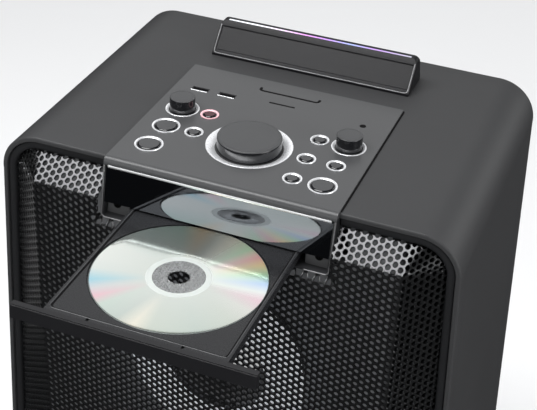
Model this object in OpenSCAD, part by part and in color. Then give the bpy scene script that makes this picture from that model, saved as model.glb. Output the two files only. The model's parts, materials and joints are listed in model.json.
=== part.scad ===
// Karaoke machine with a disc tray: a floor-standing speaker tower whose top carries the player and its controls.
// Millimetres, +Z up, front towards -Y. The origin is on the floor, under the middle of the whole outline
// with the disc tray open, which is the rest pose.

/* [Cabinet] */
// Height of the cabinet's top above the floor
top_z = 560; // [460:5:700]
// Width across the flat top
cab_top_w = 348; // [300:2:420]
// Width at the foot, a little more than at the top
cab_foot_w = 400; // [348:2:480]
// Depth from the bezel to the rear edge
cab_d = 245; // [230:5:320]
// Radius of the two upper edges
cab_r = 32; // [24:1:44]
// Wall of the wrap
wall = 4; // [3:0.5:6]
// Height of the feet
foot_h = 12; // [8:1:25]
// Radius of a foot
foot_r = 16; // [10:1:24]

/* [Front] */
// Width of the bezel's front face inside the wrap
bezel_w = 6.5; // [5:0.5:12]
// Depth of the bezel
bezel_t = 14; // [10:1:20]
// How far the grille's flat stands ahead of the bezel
grille_ahead = 17; // [10:1:24]
// Half width of the grille's flat
grille_half = 140; // [115:1:146]
// Drop from the cabinet's top to the grille's flat
grille_drop = 26; // [20:1:40]
// Height of the grille's flat above the cabinet's bottom
grille_rise = 30; // [20:1:60]
// Wall of the grille
grille_t = 3; // [2:0.5:4]
// Pitch of the grille's holes
hole_pitch = 18; // [16:1:24]
// Radius of a grille hole
hole_r = 6; // [4:0.1:7]
// Thickness of the baffle board
baffle_t = 12; // [9:1:18]
// Gap from the bezel's back to the baffle
baffle_gap = 8; // [4:1:20]

/* [Speakers] */
// Radius of the hole that a cone looks through
woofer_r = 56; // [46:1:64]
// Width of a woofer's rim on the baffle
woofer_rim = 9; // [6:1:12]
// Depth of a woofer behind the baffle's face
woofer_depth = 62; // [54:1:75]
// Drop from the cabinet's top to the upper woofer's centre
woofer_drop = 168; // [160:1:178]
// Radius of a woofer's dust cap
cap_r = 31; // [26:1:36]
// Distance between the two woofer centres
woofer_pitch = 196; // [170:1:210]
// Width of a light ring
light_w = 7; // [5:0.5:8]
// Radius of the bass port's bore
port_r = 27; // [18:1:34]
// Length of the bass port
port_len = 70; // [40:5:100]

/* [Control module] */
// Width of the control panel
panel_w = 175; // [170:1:190]
// Depth of the control panel
panel_d = 160; // [155:1:170]
// How far the panel stands above the cabinet's top
panel_up = 2; // [1:0.5:4]
// How far the module stands ahead of the bezel at the panel
panel_ahead = 6; // [4:1:8]
// Lean of the window and the tray door, top backwards
lean = 10; // [0:1:14]
// Drop from the panel's surface to the chrome strip
roll_drop = 5.5; // [5:0.5:8]
// Width of the module frame's rim
rim = 2; // [1.5:0.5:3]

/* [Disc tray] */
// Travel of the tray
tray_travel = 130; // [110:1:134]
// Width of the tray
tray_w = 128; // [126:1:130]
// Length of the tray behind its door
tray_len = 182; // [176:1:190]
// Radius of a disc
disc_r = 60; // [60:1:60]
// Thickness of a disc
disc_t = 1.2; // [1.1:0.1:1.3]
// Drop from the cabinet's top to the disc's upper face
disc_drop = 34; // [33:1:44]
// Height of the tray door
door_h = 9.8; // [9:0.1:10]
// Clearance of the tray in its guides
slide_gap = 0.4; // [0.2:0.1:0.6]
// Tooth module of the loader's gears
tooth_m = 1.25; // [1.25:0.25:1.25]
// Teeth of the rack pinion
pinion_n = 14; // [12:1:16]
// Teeth of the loader's large gear
gear_n = 26; // [22:2:28]
// Teeth of the motor's pinion
motor_n = 12; // [12:1:14]
// Angle by which the pickup deck hangs while the tray is open
deck_drop = 2.6; // [1:0.1:3]
// Running clearance of a shaft in its bore
run_gap = 0.05; // [0.02:0.01:0.1]

/* [Controls] */
// Radius of the volume knob
volume_r = 24; // [20:1:26]
// Width from the volume knob to the outside of its ring
volume_ring_w = 8; // [4:0.5:9]
// Height of the knobs
knob_h = 10.2; // [8:0.2:18]
// Height of a small knob
small_knob_h = 11.4; // [8:0.2:16]
// Depth of the sloped ring that the volume knob stands in
dish_d = 2.2; // [1:0.2:4]
// Depth of the sloped ring that a small knob stands in
small_dish_d = 0.8; // [0.4:0.2:3]
// Radius of a small knob
knob_r = 9.8; // [8:0.2:10]
// Width from a small knob to the outside of its ring
knob_ring_w = 3.2; // [2:0.2:4]
// Radius of a large button
big_r = 8.2; // [6:0.2:9]
// Radius of a small button
small_r = 4.7; // [4:0.1:5.5]
// Width of a button's ring
ring_w = 2.3; // [1.5:0.1:3]
// Travel of a button
press = 1; // [0.5:0.1:1.2]
// Distance of the outer button columns from the middle
col_out = 66.5; // [64:0.5:70]
// Distance of the inner button columns from the middle
col_in = 44; // [42:0.5:46]
// Distance of the first row from the panel's front edge
row_first = 30.5; // [28:0.5:34]
// Distance between rows
row_pitch = 29.2; // [27:0.1:31]

/* [Tablet rest] */
// Width of the rest
rest_w = 168; // [140:2:180]
// Height of the rest above the cabinet's top
rest_h = 24; // [18:1:36]
// Depth of the rest
rest_d = 34; // [30:1:44]
// Width of the ridge along the rest's top
ridge_w = 8; // [7:0.5:12]
// How far the rest's front leans back
slope_run = 18; // [12:1:20]
// Depth of the ledge in front of the rest, where a tablet stands
ledge_w = 25.5; // [18:0.5:30]

/* [Hidden] */

$fn = 72;
eps = 0.5;

// Slope of a side wall, as the sideways run for each millimetre down
side_run = (cab_foot_w - cab_top_w) / 2 / (top_z - foot_h);
side_len = sqrt(1 + side_run * side_run);
grille_edge = wall + bezel_w + 0.6;
foot_corner = 10;
foot_screw_r = 2.2;

// Heights of the module, measured from the disc's upper face
disc_z = top_z - disc_drop;
panel_z = top_z + panel_up;
panel_t = 3;
win_top = panel_z - roll_drop;
win_bot = disc_z + 2.2;
door_top = disc_z + 1.6;
door_bot = door_top - door_h;
frame_bot = door_bot - 1.8;

// The bezel's front plane is placed so that the outline with the tray open is centred on the origin
reach = panel_ahead + tan(lean) * (win_top - door_bot) + tray_travel;
front_y = (reach - cab_d) / 2;
back_y = front_y + cab_d;
panel_front = front_y - panel_ahead;
panel_back = panel_front + panel_d;
frame_back = front_y + 10;
flat_y = front_y - grille_ahead;
baffle_y = front_y + bezel_t + baffle_gap;
rear_t = 4;
woofer_z = [top_z - woofer_drop, top_z - woofer_drop - woofer_pitch];

// Front plane of the module, which leans back with height
function lean_y(z) = panel_front - tan(lean) * (win_top - z);

// The tray's own places while it is open
door_t = 5;
tray_front = lean_y(door_top) + door_t - tray_travel;
tray_back = tray_front + tray_len;
disc_y = tray_front + 8 + disc_r;
spindle_y = disc_y + tray_travel;
rim_z = disc_z + 1.2;
tray_bot = disc_z - 5;
slot_half = tray_w / 2 + 3;
small_disc_r = 40;
bay_half = 19;
notch_x = 33;
chassis_front = frame_back + 1;
chassis_back = spindle_y + 120;
hanger_w = 8;

// Gears: the rack runs along the tray's left side and the pinion stands inside it
pinion_r = tooth_m * pinion_n / 2;
gear_r = tooth_m * gear_n / 2;
motor_r = tooth_m * motor_n / 2;
rack_x = -tray_w / 2 + 16;
pinion_x = rack_x + pinion_r;
pinion_y = chassis_front + 24;
gear_low = disc_z - 10.4;
gear_high = disc_z - 8.3;
rack_low = disc_z - 8;
motor_turn = 100;
motor_x = pinion_x + (gear_r + motor_r) * cos(motor_turn);
motor_y = pinion_y + (gear_r + motor_r) * sin(motor_turn);
tooth_play = 0.16;
post_r = 2;
floor_top = disc_z - 12;
floor_low = floor_top - 2;

// Pickup deck, drawn level and then swung down about its hinge
hinge_y = spindle_y + 76;
hinge_z = disc_z - 11.5;
hinge_r = 2;
deck_half = 26;
deck_low = disc_z - 13;
deck_high = disc_z - 11;
rail_r = 1.5;
rail_x = 17;
rail_z = disc_z - 7.8;
table_top = disc_z - disc_t - 0.3;
hub_r = 7.2;

// Controls: [x, row, radius]
row_back = row_first + 3 * row_pitch + 4.5;
buttons = [[-col_out, 1, big_r], [-col_out, 0, big_r], [-col_in, 1, small_r], [-col_in, 2, small_r],
  [col_in, 2, small_r], [col_in, 1, small_r], [col_out, 1, small_r], [col_in, 0, small_r],
  [col_out, 0, big_r]];
button_up = 0.9;
fit_gap = 0.3;
ring_gap = 0.7;
flap_w = 50;
flap_y = panel_front + row_back + 18.4;
board_z = panel_z - 15;
switch_h = 3;
shaft_r = 3;
shaft_len = 8.6;
dish_ring_t = 0.9;
dish_floor_t = 1.4;
knob_gap = 0.4;
function row_y(n) = panel_front + row_first + n * row_pitch;
hanger_ys = [row_y(0.5) - hanger_w / 2, panel_back - 20];

// Rest block
rest_front = panel_back + ledge_w;
rest_back = rest_front + rest_d;
rest_corner = 5;
light_strip_w = 2.4;
light_strip_h = 2;
ridge_y = rest_front + slope_run + 2.4;

module box(x0, x1, y0, y1, z0, z1) {
  translate([x0, y0, z0]) cube([x1 - x0, y1 - y0, z1 - z0]);
}

module rod(x, y, z0, z1, r) {
  translate([x, y, z0]) cylinder(r = r, h = z1 - z0);
}

module tube(x, y, z0, z1, r_out, r_in) {
  translate([x, y, z0]) difference() {
    cylinder(r = r_out, h = z1 - z0);
    translate([0, 0, -eps]) cylinder(r = r_in, h = z1 - z0 + 2 * eps);
  }
}

// A rod along Y
module bar_y(x, z, y0, y1, r) {
  translate([x, y1, z]) rotate([90, 0, 0]) cylinder(r = r, h = y1 - y0);
}

// Extrudes a front view (x, z) from y0 to y1
module along_y(y0, y1) {
  translate([0, y1, 0]) rotate([90, 0, 0]) linear_extrude(y1 - y0) children();
}

// Extrudes a side view (y, z) from x0 to x1
module along_x(x0, x1) {
  translate([x0, 0, 0]) rotate([90, 0, 90]) linear_extrude(x1 - x0) children();
}

function side_x(z) = cab_top_w / 2 + side_run * (top_z - z);

// Block from y0 to y1 with the cabinet's front outline, drawn in by d, and true arcs at its corners
module block(d, y0, y1) {
  r = cab_r - d;
  rf = max(foot_corner - d, 2);
  cz = top_z - cab_r;
  cx = side_x(cz) - cab_r * side_len;
  fz = foot_h + d + rf;
  fx = side_x(fz) - (d + rf) * side_len;
  half = [[cx, top_z - d], [cx, cz], [cx + r / side_len, cz + r * side_run / side_len],
    [fx + rf / side_len, fz + rf * side_run / side_len], [fx, fz], [fx, foot_h + d]];
  along_y(y0, y1) polygon(concat(half, [for (i = [5:-1:0]) [-half[i][0], half[i][1]]]));
  for (s = [-1, 1]) {
    bar_y(s * cx, cz, y0, y1, r);
    bar_y(s * fx, fz, y0, y1, rf);
  }
}

// Ring from y0 to y1 between the outline drawn in by d and the outline drawn in by e
module ring(d, e, y0, y1) {
  difference() {
    block(d, y0, y1);
    block(e, y0 - 1, y1 + 1);
  }
}

module cabinet_wrap() {
  boss_y = back_y - 2 - rear_t - boss_len;
  color([0.29, 0.29, 0.3]) difference() {
    union() {
      ring(0, wall, front_y, back_y);
      // Bosses that take the rear screws
      for (p = rear_places) {
        bar_y(screw_x(p), p[1], boss_y, boss_y + boss_len, boss_r);
        translate([p[0] < 0 ? screw_x(p) - rear_post - 5 : screw_x(p), boss_y, p[1] - 2])
          cube([rear_post + 5, boss_len, 4]);
      }
    }
    for (p = rear_places) bar_y(screw_x(p), p[1], boss_y - 1, boss_y + boss_len + 1, screw_r + run_gap);
    // Opening under the control panel
    box(-panel_w / 2 + 3, panel_w / 2 - 3, front_y - 1, panel_back - 3, top_z - wall - 1, top_z + 1);
    box(-panel_w / 2 - 0.3, panel_w / 2 + 0.3, front_y - 1, frame_back + 0.3, top_z - wall - 1, top_z + 1);
    for (x = [-1, 1], y = [-1, 1]) rod(x * foot_x(), foot_yc(y), foot_h - 1, foot_h + wall + 1, foot_screw_r);
  }
}

function foot_x() = side_x(foot_h) - foot_r - 14;
function foot_yc(s) = front_y + cab_d / 2 + s * (cab_d / 2 - foot_r - 10);

module feet() {
  color([0.1, 0.1, 0.1]) for (x = [-1, 1], y = [-1, 1])
    translate([x * foot_x(), foot_yc(y), 0]) difference() {
      rotate_extrude() polygon([[0, 0], [foot_r - 3, 0], [foot_r - 1, 2], [foot_r, foot_h], [0, foot_h]]);
      translate([0, 0, -1]) cylinder(r = foot_screw_r, h = foot_h + 2);
      translate([0, 0, -1]) cylinder(r = 5, h = 5);
    }
}

module foot_screws() {
  color([0.5, 0.5, 0.5]) for (x = [-1, 1], y = [-1, 1]) {
    rod(x * foot_x(), foot_yc(y), 1.4, 4, 4.2);
    rod(x * foot_x(), foot_yc(y), 3, foot_h + wall - 0.4, foot_screw_r - run_gap);
  }
}

module baffle() {
  color([0.16, 0.14, 0.12]) difference() {
    block(wall, baffle_y, baffle_y + baffle_t);
    for (z = woofer_z) bar_y(0, z, baffle_y - 1, baffle_y + baffle_t + 1, woofer_r);
    // The loader reaches through the top of the board
    box(-panel_w / 2 - 2, panel_w / 2 + 2, baffle_y - 1, baffle_y + baffle_t + 1, floor_low - 8, top_z);
  }
}

module front_bezel() {
  color([0.15, 0.15, 0.16]) difference() {
    ring(wall, wall + bezel_w, front_y + 1, front_y + bezel_t);
    box(-panel_w / 2 - 1, panel_w / 2 + 1, front_y, front_y + bezel_t + 1, frame_bot - 2, top_z);
  }
}

// One perforated sheet in the XY plane, w wide and h high, with its holes in a staggered pattern
module sheet(w, h) {
  nx = floor(w / hole_pitch / 2);
  ny = floor(h / hole_pitch / 0.866 / 2);
  linear_extrude(grille_t) difference() {
    translate([-w / 2, -h / 2]) square([w, h]);
    for (j = [-ny:ny]) {
      shift = (abs(j) % 2) / 2;
      for (i = [-nx:nx]) {
        x = (i + shift) * hole_pitch;
        y = j * hole_pitch * 0.866;
        if (abs(x) < w / 2 - hole_r - 1 && abs(y) < h / 2 - hole_r - 1)
          translate([x, y]) circle(hole_r, $fn = 24);
      }
    }
  }
}

// Front outline of the grille's base, drawn in by d, with corners of a few chords
module base(d, y0, y1) {
  r = cab_r - d;
  cz = top_z - cab_r;
  cx = side_x(cz) - cab_r * side_len;
  fz = foot_h + d;
  fx = side_x(fz) - d * side_len - 4;
  half = [for (a = [90, 67, 44, 21, -atan(side_run)]) [cx + r * cos(a), cz + r * sin(a)]];
  right = concat(half, [[fx + 4, fz + 4], [fx, fz]]);
  along_y(y0, y1) polygon(concat(right, [for (i = [6:-1:0]) [-right[i][0], right[i][1]]]));
}

// The bulge of the grille, from its base back to its flat, drawn in by d
module bulge(d, low, high) {
  hull() {
    base(grille_edge + d, front_y + 3, front_y + 4 + d);
    translate([-grille_half + d * 0.7, flat_y + d, low + d * 0.7])
      cube([2 * grille_half - 1.4 * d, 0.2, high - low - 1.4 * d]);
  }
}

// Perforated grille: a flat front with round holes, sloped ends with round holes and slotted sides
module grille() {
  high = top_z - grille_drop;
  low = foot_h + grille_rise;
  mid = (high + low) / 2;
  rise = top_z - grille_edge - high;
  side_gap = 14;
  slot_h = 8;
  slots = floor((high - low - 30) / side_gap / 2);
  flange_y = front_y + bezel_t;
  color([0.08, 0.08, 0.085]) difference() {
    union() {
      difference() {
        bulge(0, low, high);
        bulge(grille_t, low, high);
        box(-grille_half + 4, grille_half - 4, flat_y - 2, flat_y + 8, low + 4, high - 4);
        // Slots of the two sides
        for (j = [-slots:slots], s = [-1, 1])
          box(s * (grille_half + 13 + side_run * (mid - j * side_gap) / 2) - 8,
            s * (grille_half + 13 + side_run * (mid - j * side_gap) / 2) + 8, flat_y - 2, front_y + 8,
            mid + j * side_gap - slot_h / 2, mid + j * side_gap + slot_h / 2);
        // Holes of the sloped ends
        for (i = [-7:7], z = [high + rise * 0.52, low - rise * 0.9])
          translate([i * hole_pitch, flat_y - 2, z]) rotate([-90, 0, 0])
            cylinder(r = hole_r * 0.86, h = grille_ahead + 10, $fn = 24);
      }
      translate([0, flat_y + grille_t, mid]) rotate([90, 0, 0]) sheet(2 * grille_half - 6, high - low - 6);
      // Wall and flange behind the bezel
      difference() {
        union() {
          base(grille_edge, front_y + 3.5, flange_y + 2.5);
          base(wall + 0.6, flange_y, flange_y + 2.5);
        }
        base(grille_edge + grille_t, front_y, flange_y + 5);
      }
    }
    box(-panel_w / 2 - 0.6, panel_w / 2 + 0.6, flat_y - 5, front_y + 40, frame_bot - 0.6, top_z);
  }
}

// Woofer: a pressed basket with six arms, a magnet behind it and a rim on the baffle's face
module basket(z) {
  depth = woofer_depth;
  color([0.13, 0.13, 0.14]) translate([0, baffle_y, z]) rotate([-90, 0, 0]) {
    difference() {
      union() {
        translate([0, 0, -3]) difference() {
          cylinder(r = woofer_r + woofer_rim, h = 3);
          translate([0, 0, -eps]) cylinder(r = woofer_r - 4, h = 4);
        }
        difference() {
          translate([0, 0, -eps]) cylinder(r1 = woofer_r - 1, r2 = 34, h = depth - 22 + eps);
          translate([0, 0, -2 * eps]) cylinder(r1 = woofer_r - 4, r2 = 31, h = depth - 22 + 2 * eps);
        }
        translate([0, 0, depth - 24]) cylinder(r = 38, h = 4);
        translate([0, 0, depth - 20]) cylinder(r = 42, h = 18);
        translate([0, 0, depth - 2]) cylinder(r = 30, h = 2);
      }
      for (a = [0:60:300]) rotate([0, 0, a]) translate([30, -10, 10]) cube([40, 20, depth - 38]);
      for (a = [45:90:315]) rotate([0, 0, a]) translate([woofer_r + woofer_rim - 4.5, 0, -4])
        cylinder(r = 2, h = 6);
    }
  }
}

// Cone with its rolled edge and dust cap, one revolved wall
module cone(z) {
  r = woofer_r - 4.6;
  color([0.75, 0.76, 0.78]) translate([0, baffle_y, z]) rotate([-90, 0, 0]) rotate_extrude()
    difference() {
      union() {
        polygon([[cap_r + 1, 15.5], [r - 9, -1], [r - 9, 0.6], [cap_r + 4, 17]]);
        translate([r - 5, 0]) circle(4.4);
        polygon([[0, 5], [cap_r * 0.4, 6], [cap_r * 0.75, 9], [cap_r, 13.5], [cap_r + 4, 17],
          [cap_r - 2, 17], [cap_r * 0.7, 12], [0, 8]]);
      }
      translate([r - 5, 0]) circle(3.4);
      translate([r - 9.4, 0]) square([14, 8]);
    }
}

// Light ring, which lies on the woofer's rim
module light_ring(z) {
  r = woofer_r + 1;
  color([0.95, 0.96, 0.98]) translate([0, baffle_y - 3, z]) rotate([90, 0, 0]) rotate_extrude()
    polygon([[r, 0], [r, 2], [r + 2, 3.5], [r + light_w - 2, 3.5], [r + light_w, 2], [r + light_w, 0]]);
}

module upper_woofer_basket() { basket(woofer_z[0]); }
module lower_woofer_basket() { basket(woofer_z[1]); }
module upper_woofer_cone() { cone(woofer_z[0]); }
module lower_woofer_cone() { cone(woofer_z[1]); }
module upper_light_ring() { light_ring(woofer_z[0]); }
module lower_light_ring() { light_ring(woofer_z[1]); }

port_z = foot_h + 110;
inlet_x = -95;
inlet_z = foot_h + 60;
inlet_w = 27;
inlet_h = 20;
rear_post = 9;
boss_r = 5;
boss_len = 14;
screw_r = 1.6;
rear_places = [[-1, foot_h + 28], [1, foot_h + 28], [-1, top_z * 0.5], [1, top_z * 0.5], [-1, top_z - 46],
  [1, top_z - 46]];
function screw_x(p) = p[0] * (side_x(p[1]) - wall - rear_post - 4);

module rear_panel() {
  y0 = back_y - 2 - rear_t;
  y1 = back_y - 2;
  color([0.12, 0.12, 0.13]) difference() {
    block(wall, y0, y1);
    bar_y(0, port_z, y0 - 1, y1 + 1, port_r + 3.3);
    box(inlet_x - inlet_w / 2, inlet_x + inlet_w / 2, y0 - 1, y1 + 1, inlet_z - inlet_h / 2,
      inlet_z + inlet_h / 2);
    for (p = rear_places) bar_y(screw_x(p), p[1], y0 - 1, y1 + 1, screw_r + 0.3);
    // Cooling slots in front of the amplifier
    for (i = [-6:6]) box(i * 9 + 78, i * 9 + 82, y0 - 1, y1 + 1, foot_h + 190, foot_h + 250);
  }
}

module rear_screws() {
  color([0.2, 0.2, 0.2]) for (p = rear_places) translate([screw_x(p), back_y - 2, p[1]])
    rotate([90, 0, 0]) {
      translate([0, 0, -1.6]) cylinder(r = 3.6, h = 1.6);
      cylinder(r = screw_r, h = rear_t + 8);
    }
}

module bass_port() {
  color([0.07, 0.07, 0.07]) translate([0, back_y - 2, port_z]) rotate([90, 0, 0]) rotate_extrude()
    polygon([[port_r, 0], [port_r + 5, -2], [port_r + 9, -2], [port_r + 9, 0], [port_r + 3, 0],
      [port_r + 3, port_len], [port_r, port_len]]);
}

// Two-pin mains inlet, a moulded shell with its pins
module mains_inlet() {
  color([0.06, 0.06, 0.06]) translate([inlet_x, back_y - 2, inlet_z]) rotate([90, 0, 0]) {
    difference() {
      union() {
        translate([-inlet_w / 2 - 3, -inlet_h / 2 - 3, -1.5])
          cube([inlet_w + 6, inlet_h + 6, 1.5]);
        translate([-inlet_w / 2 + 0.3, -inlet_h / 2 + 0.3, 0])
          cube([inlet_w - 0.6, inlet_h - 0.6, 22]);
      }
      translate([0, 0, -2]) linear_extrude(16) {
        translate([-4.3, 0]) circle(5);
        translate([4.3, 0]) circle(5);
        translate([-4.3, -3.8]) square([8.6, 7.6]);
      }
    }
    for (x = [-4.3, 4.3]) translate([x, 0, 2]) cylinder(r = 1.2, h = 13);
  }
}

module power_supply() {
  y1 = back_y - 2 - rear_t - 34;
  color([0.25, 0.45, 0.25]) {
    box(-150, -50, y1 - 60, y1 + 20, foot_h + wall, foot_h + wall + 8);
    box(-120, -80, y1 - 50, y1 - 12, foot_h + wall + 8, foot_h + wall + 40);
    for (x = [-66, -140]) rod(x, y1 - 30, foot_h + wall + 8, foot_h + wall + 34, 9);
  }
}

module amplifier_board() {
  y1 = back_y - 2 - rear_t;
  color([0.2, 0.4, 0.25]) {
    for (x = [36, 120], z = [foot_h + 180, foot_h + 262])
      translate([x, y1, z]) rotate([90, 0, 0]) cylinder(r = 3, h = 8);
    box(30, 126, y1 - 9.6, y1 - 8, foot_h + 174, foot_h + 268);
    box(40, 116, y1 - 34, y1 - 9.6, foot_h + 196, foot_h + 226);
    for (x = [52, 74, 96]) translate([x, y1 - 9.6, foot_h + 246]) rotate([90, 0, 0])
      cylinder(r = 7, h = 20);
  }
}

// Tablet rest: a ridge whose front leans back, so that a tablet stands in front of it and leans on it
module tablet_rest() {
  lip = 1.2;
  color([0.17, 0.17, 0.18]) difference() {
    intersection() {
      along_x(-rest_w / 2, rest_w / 2) polygon([[rest_front, top_z], [rest_front, top_z + 2],
        [rest_front + slope_run, top_z + rest_h - 2], [rest_front + slope_run + 2, top_z + rest_h],
        [rest_front + slope_run + ridge_w, top_z + rest_h], [rest_back, top_z + 3], [rest_back, top_z]]);
      hull() {
        box(-rest_w / 2, rest_w / 2, rest_front - 1, rest_back + 1, top_z - 1, top_z + 1);
        for (x = [-1, 1] * (rest_w / 2 - rest_corner))
          bar_y(x, top_z + rest_h - rest_corner, rest_front - 1, rest_back + 1, rest_corner);
      }
    }
    // Sunk panel of the front, inside a narrow border
    along_x(-rest_w / 2 + 2.4, rest_w / 2 - 2.4) polygon([[rest_front - 5, top_z + 4.6],
      [rest_front + lip + 2, top_z + 4.6], [rest_front + lip + slope_run - 1.4, top_z + rest_h - 4],
      [rest_front - 5, top_z + rest_h - 4]]);
    // Seat of the light strip
    box(-rest_w / 2 + 6, rest_w / 2 - 6, ridge_y, ridge_y + light_strip_w, top_z + rest_h - light_strip_h,
      top_z + rest_h + 1);
  }
}

module rounded(w, y0, y1, r) {
  translate([-w / 2 + r, y0]) square([w - 2 * r, y1 - y0]);
  translate([-w / 2, y0 + r]) square([w, y1 - y0 - 2 * r]);
  for (x = [-w / 2 + r, w / 2 - r], y = [y0 + r, y1 - r]) translate([x, y]) circle(r);
}

module rest_light() {
  color([0.6, 0.4, 0.8]) box(-rest_w / 2 + 6, rest_w / 2 - 6, ridge_y, ridge_y + light_strip_w,
    top_z + rest_h - light_strip_h, top_z + rest_h - 0.2);
}

// Control panel: a plate with a front edge rolled down to the chrome strip
module control_panel() {
  r = roll_drop - 0.5;
  color([0.38, 0.38, 0.39]) difference() {
    union() {
      box(-panel_w / 2, panel_w / 2, panel_front + r, panel_back, top_z, panel_z);
      box(-panel_w / 2 + 3.4, panel_w / 2 - 3.4, panel_front + r, panel_back - 3.4, panel_z - panel_t,
        top_z + eps);
      intersection() {
        translate([0, panel_front + r, panel_z - r]) rotate([0, 90, 0])
          cylinder(r = r, h = panel_w, center = true);
        box(-panel_w / 2, panel_w / 2, panel_front, panel_front + r + eps, panel_z - r, panel_z);
      }
      box(-panel_w / 2, panel_w / 2, panel_front, panel_front + 2.4, win_top, panel_z - r + 0.01);
      // Bosses under the sloped rings of the knobs
      for (x = [-col_out, 0, col_out]) rod(x, knob_y(x), dish_low(x) - dish_floor_t, panel_z - 1,
        knob_radius(x) + dish_w(x) + 1.2);
    }
    for (b = buttons) rod(b[0], row_y(b[1]), panel_z - 8, panel_z + 1, b[2] + fit_gap);
    for (x = [-col_out, 0, col_out]) {
      rod(x, knob_y(x), panel_z - 12, panel_z + 1, shaft_r + fit_gap);
      dish(x, 0, panel_z + 1);
    }
    for (x = [-col_out, -col_in]) box(x - 7, x + 7, panel_front + row_back - 3,
      panel_front + row_back + 3, panel_z - 8, panel_z + 1);
    rod(col_out, panel_front + row_back, panel_z - 8, panel_z + 1, 2.5);
    // Groove round three sides of the flap behind the controls, and the slit in front of it
    translate([0, 0, panel_z - 1.2]) linear_extrude(3) difference() {
      rounded(flap_w, flap_y, flap_y + 8, 3.5);
      rounded(flap_w - 3.2, flap_y + 1.6, flap_y + 9, 2.5);
      translate([-flap_w / 2 - 1, flap_y + 5.5]) square([flap_w + 2, 5]);
    }
    box(-10.5, 10.5, panel_front + row_back + 3.3, panel_front + row_back + 4.5, panel_z - 0.8,
      panel_z + 1);
  }
}

function knob_y(x) = x == 0 ? row_y(1) : row_y(2);
function knob_radius(x) = x == 0 ? volume_r : knob_r;
function dish_w(x) = x == 0 ? volume_ring_w : knob_ring_w;
function knob_base(x) = panel_z - (x == 0 ? dish_d : small_dish_d) + knob_gap;
function dish_low(x) = knob_base(x) - knob_gap - dish_ring_t;

// Dish that narrows downwards round a knob, filled up to the middle and up to the height top
module dish(x, rise, top) {
  r = knob_radius(x);
  w = dish_w(x);
  translate([x, knob_y(x), 0]) rotate_extrude() polygon([[0, dish_low(x) + rise],
    [r + ring_gap, dish_low(x) + rise], [r + w, panel_z - dish_ring_t + rise], [r + w, top], [0, top]]);
}

module chrome_strip() {
  color([0.85, 0.86, 0.88]) along_x(-panel_w / 2 + rim + 1.5, panel_w / 2 - rim - 1.5) polygon([
    [panel_front - 0.3, win_top - 1.6], [panel_front - 0.3, win_top - 0.2],
    [panel_front + 1.8, win_top - 0.2], [panel_front + 1.8, win_top - 1.6]]);
}

// A slab behind the leaning front plane, from a to b behind it and from z0 to z1
module leaning(x0, x1, a, b, z0, z1) {
  along_x(x0, x1) polygon([[lean_y(z0) + a, z0], [lean_y(z1) + a, z1], [lean_y(z1) + b, z1],
    [lean_y(z0) + b, z0]]);
}

tab_x = (panel_w / 2 - rim + slot_half) / 2 + 1;
tab_z = disc_z - 1;
tab_y = lean_y(tab_z) + door_t + 1.4;

// Module frame: rims round the window and the tray door, screw tabs and the drawer's mouth
module module_frame() {
  color([0.12, 0.12, 0.13]) difference() {
    along_x(-panel_w / 2, panel_w / 2) polygon([[lean_y(frame_bot), frame_bot],
      [lean_y(win_top), win_top], [panel_front + roll_drop, win_top],
      [panel_front + roll_drop, panel_z - panel_t], [frame_back, panel_z - panel_t],
      [frame_back, frame_bot]]);
    // Seat of the window, then the pocket that the door closes into
    leaning(-panel_w / 2 + rim, panel_w / 2 - rim, -1, 3, win_bot, win_top + 1);
    leaning(-panel_w / 2 + rim, panel_w / 2 - rim, -1, door_t + 1.4, door_bot - 0.3, win_bot + 0.01);
    // Mouth of the drawer
    box(-slot_half, slot_half, front_y - 40, frame_back + 1, door_bot - 0.3, win_bot + 1);
    // Hollow behind the window
    leaning(-panel_w / 2 + 5, panel_w / 2 - 5, 5, 60, win_bot + 3.4, panel_z);
    for (s = [-1, 1]) translate([s * tab_x, tab_y, tab_z]) rotate([-90 - lean, 0, 0])
      translate([0, 0, -1]) cylinder(r = screw_r + run_gap, h = 10);
  }
}

module frame_screws() {
  color([0.02, 0.02, 0.02]) for (s = [-1, 1]) translate([s * tab_x, tab_y, tab_z])
    rotate([-90 - lean, 0, 0]) {
      difference() {
        translate([0, 0, -0.9]) cylinder(r = 3, h = 0.9);
        for (a = [0, 90]) rotate([0, 0, a]) translate([-1.8, -0.4, -1]) cube([3.6, 0.8, 0.7]);
      }
      cylinder(r = screw_r, h = 8);
    }
}

module window() {
  color([0.02, 0.02, 0.02]) leaning(-panel_w / 2 + rim, panel_w / 2 - rim, 0.4, 3, win_bot, win_top - 1.8);
}

// Trim rings round the knobs and buttons
module control_rings() {
  seat = 0.1;
  color([0.85, 0.86, 0.88]) {
    for (x = [-col_out, 0, col_out]) difference() {
      dish(x, seat, panel_z + 0.3);
      translate([0, 0, dish_ring_t - seat + eps]) dish(x, 0, panel_z + 1);
      rod(x, knob_y(x), dish_low(x) - 1, panel_z + 1, knob_radius(x) + ring_gap);
    }
    for (b = buttons) tube(b[0], row_y(b[1]), panel_z, panel_z + 0.6, b[2] + ring_w, b[2] + fit_gap);
  }
}

module knob(x, r) {
  bottom = knob_base(x);
  h = (x == 0 ? knob_h : small_knob_h) - knob_gap;
  translate([x, knob_y(x), bottom]) {
    difference() {
      rotate_extrude() polygon([[0, 0], [r, 0], [r, h - 1.6], [r - 0.5, h - 0.5], [r - 1.6, h],
        [r - 3, h], [r - 4, h - 0.5], [0, h - 0.5]]);
      // Pointer mark
      translate([-0.6, r - 6, h - 1]) cube([1.2, 5, 2]);
    }
    translate([0, 0, -shaft_len]) cylinder(r = shaft_r, h = shaft_len + eps);
  }
}

module volume_knob() { color([0.12, 0.12, 0.13]) knob(0, volume_r); }
module left_knob() { color([0.12, 0.12, 0.13]) knob(-col_out, knob_r); }
module right_knob() { color([0.12, 0.12, 0.13]) knob(col_out, knob_r); }

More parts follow.
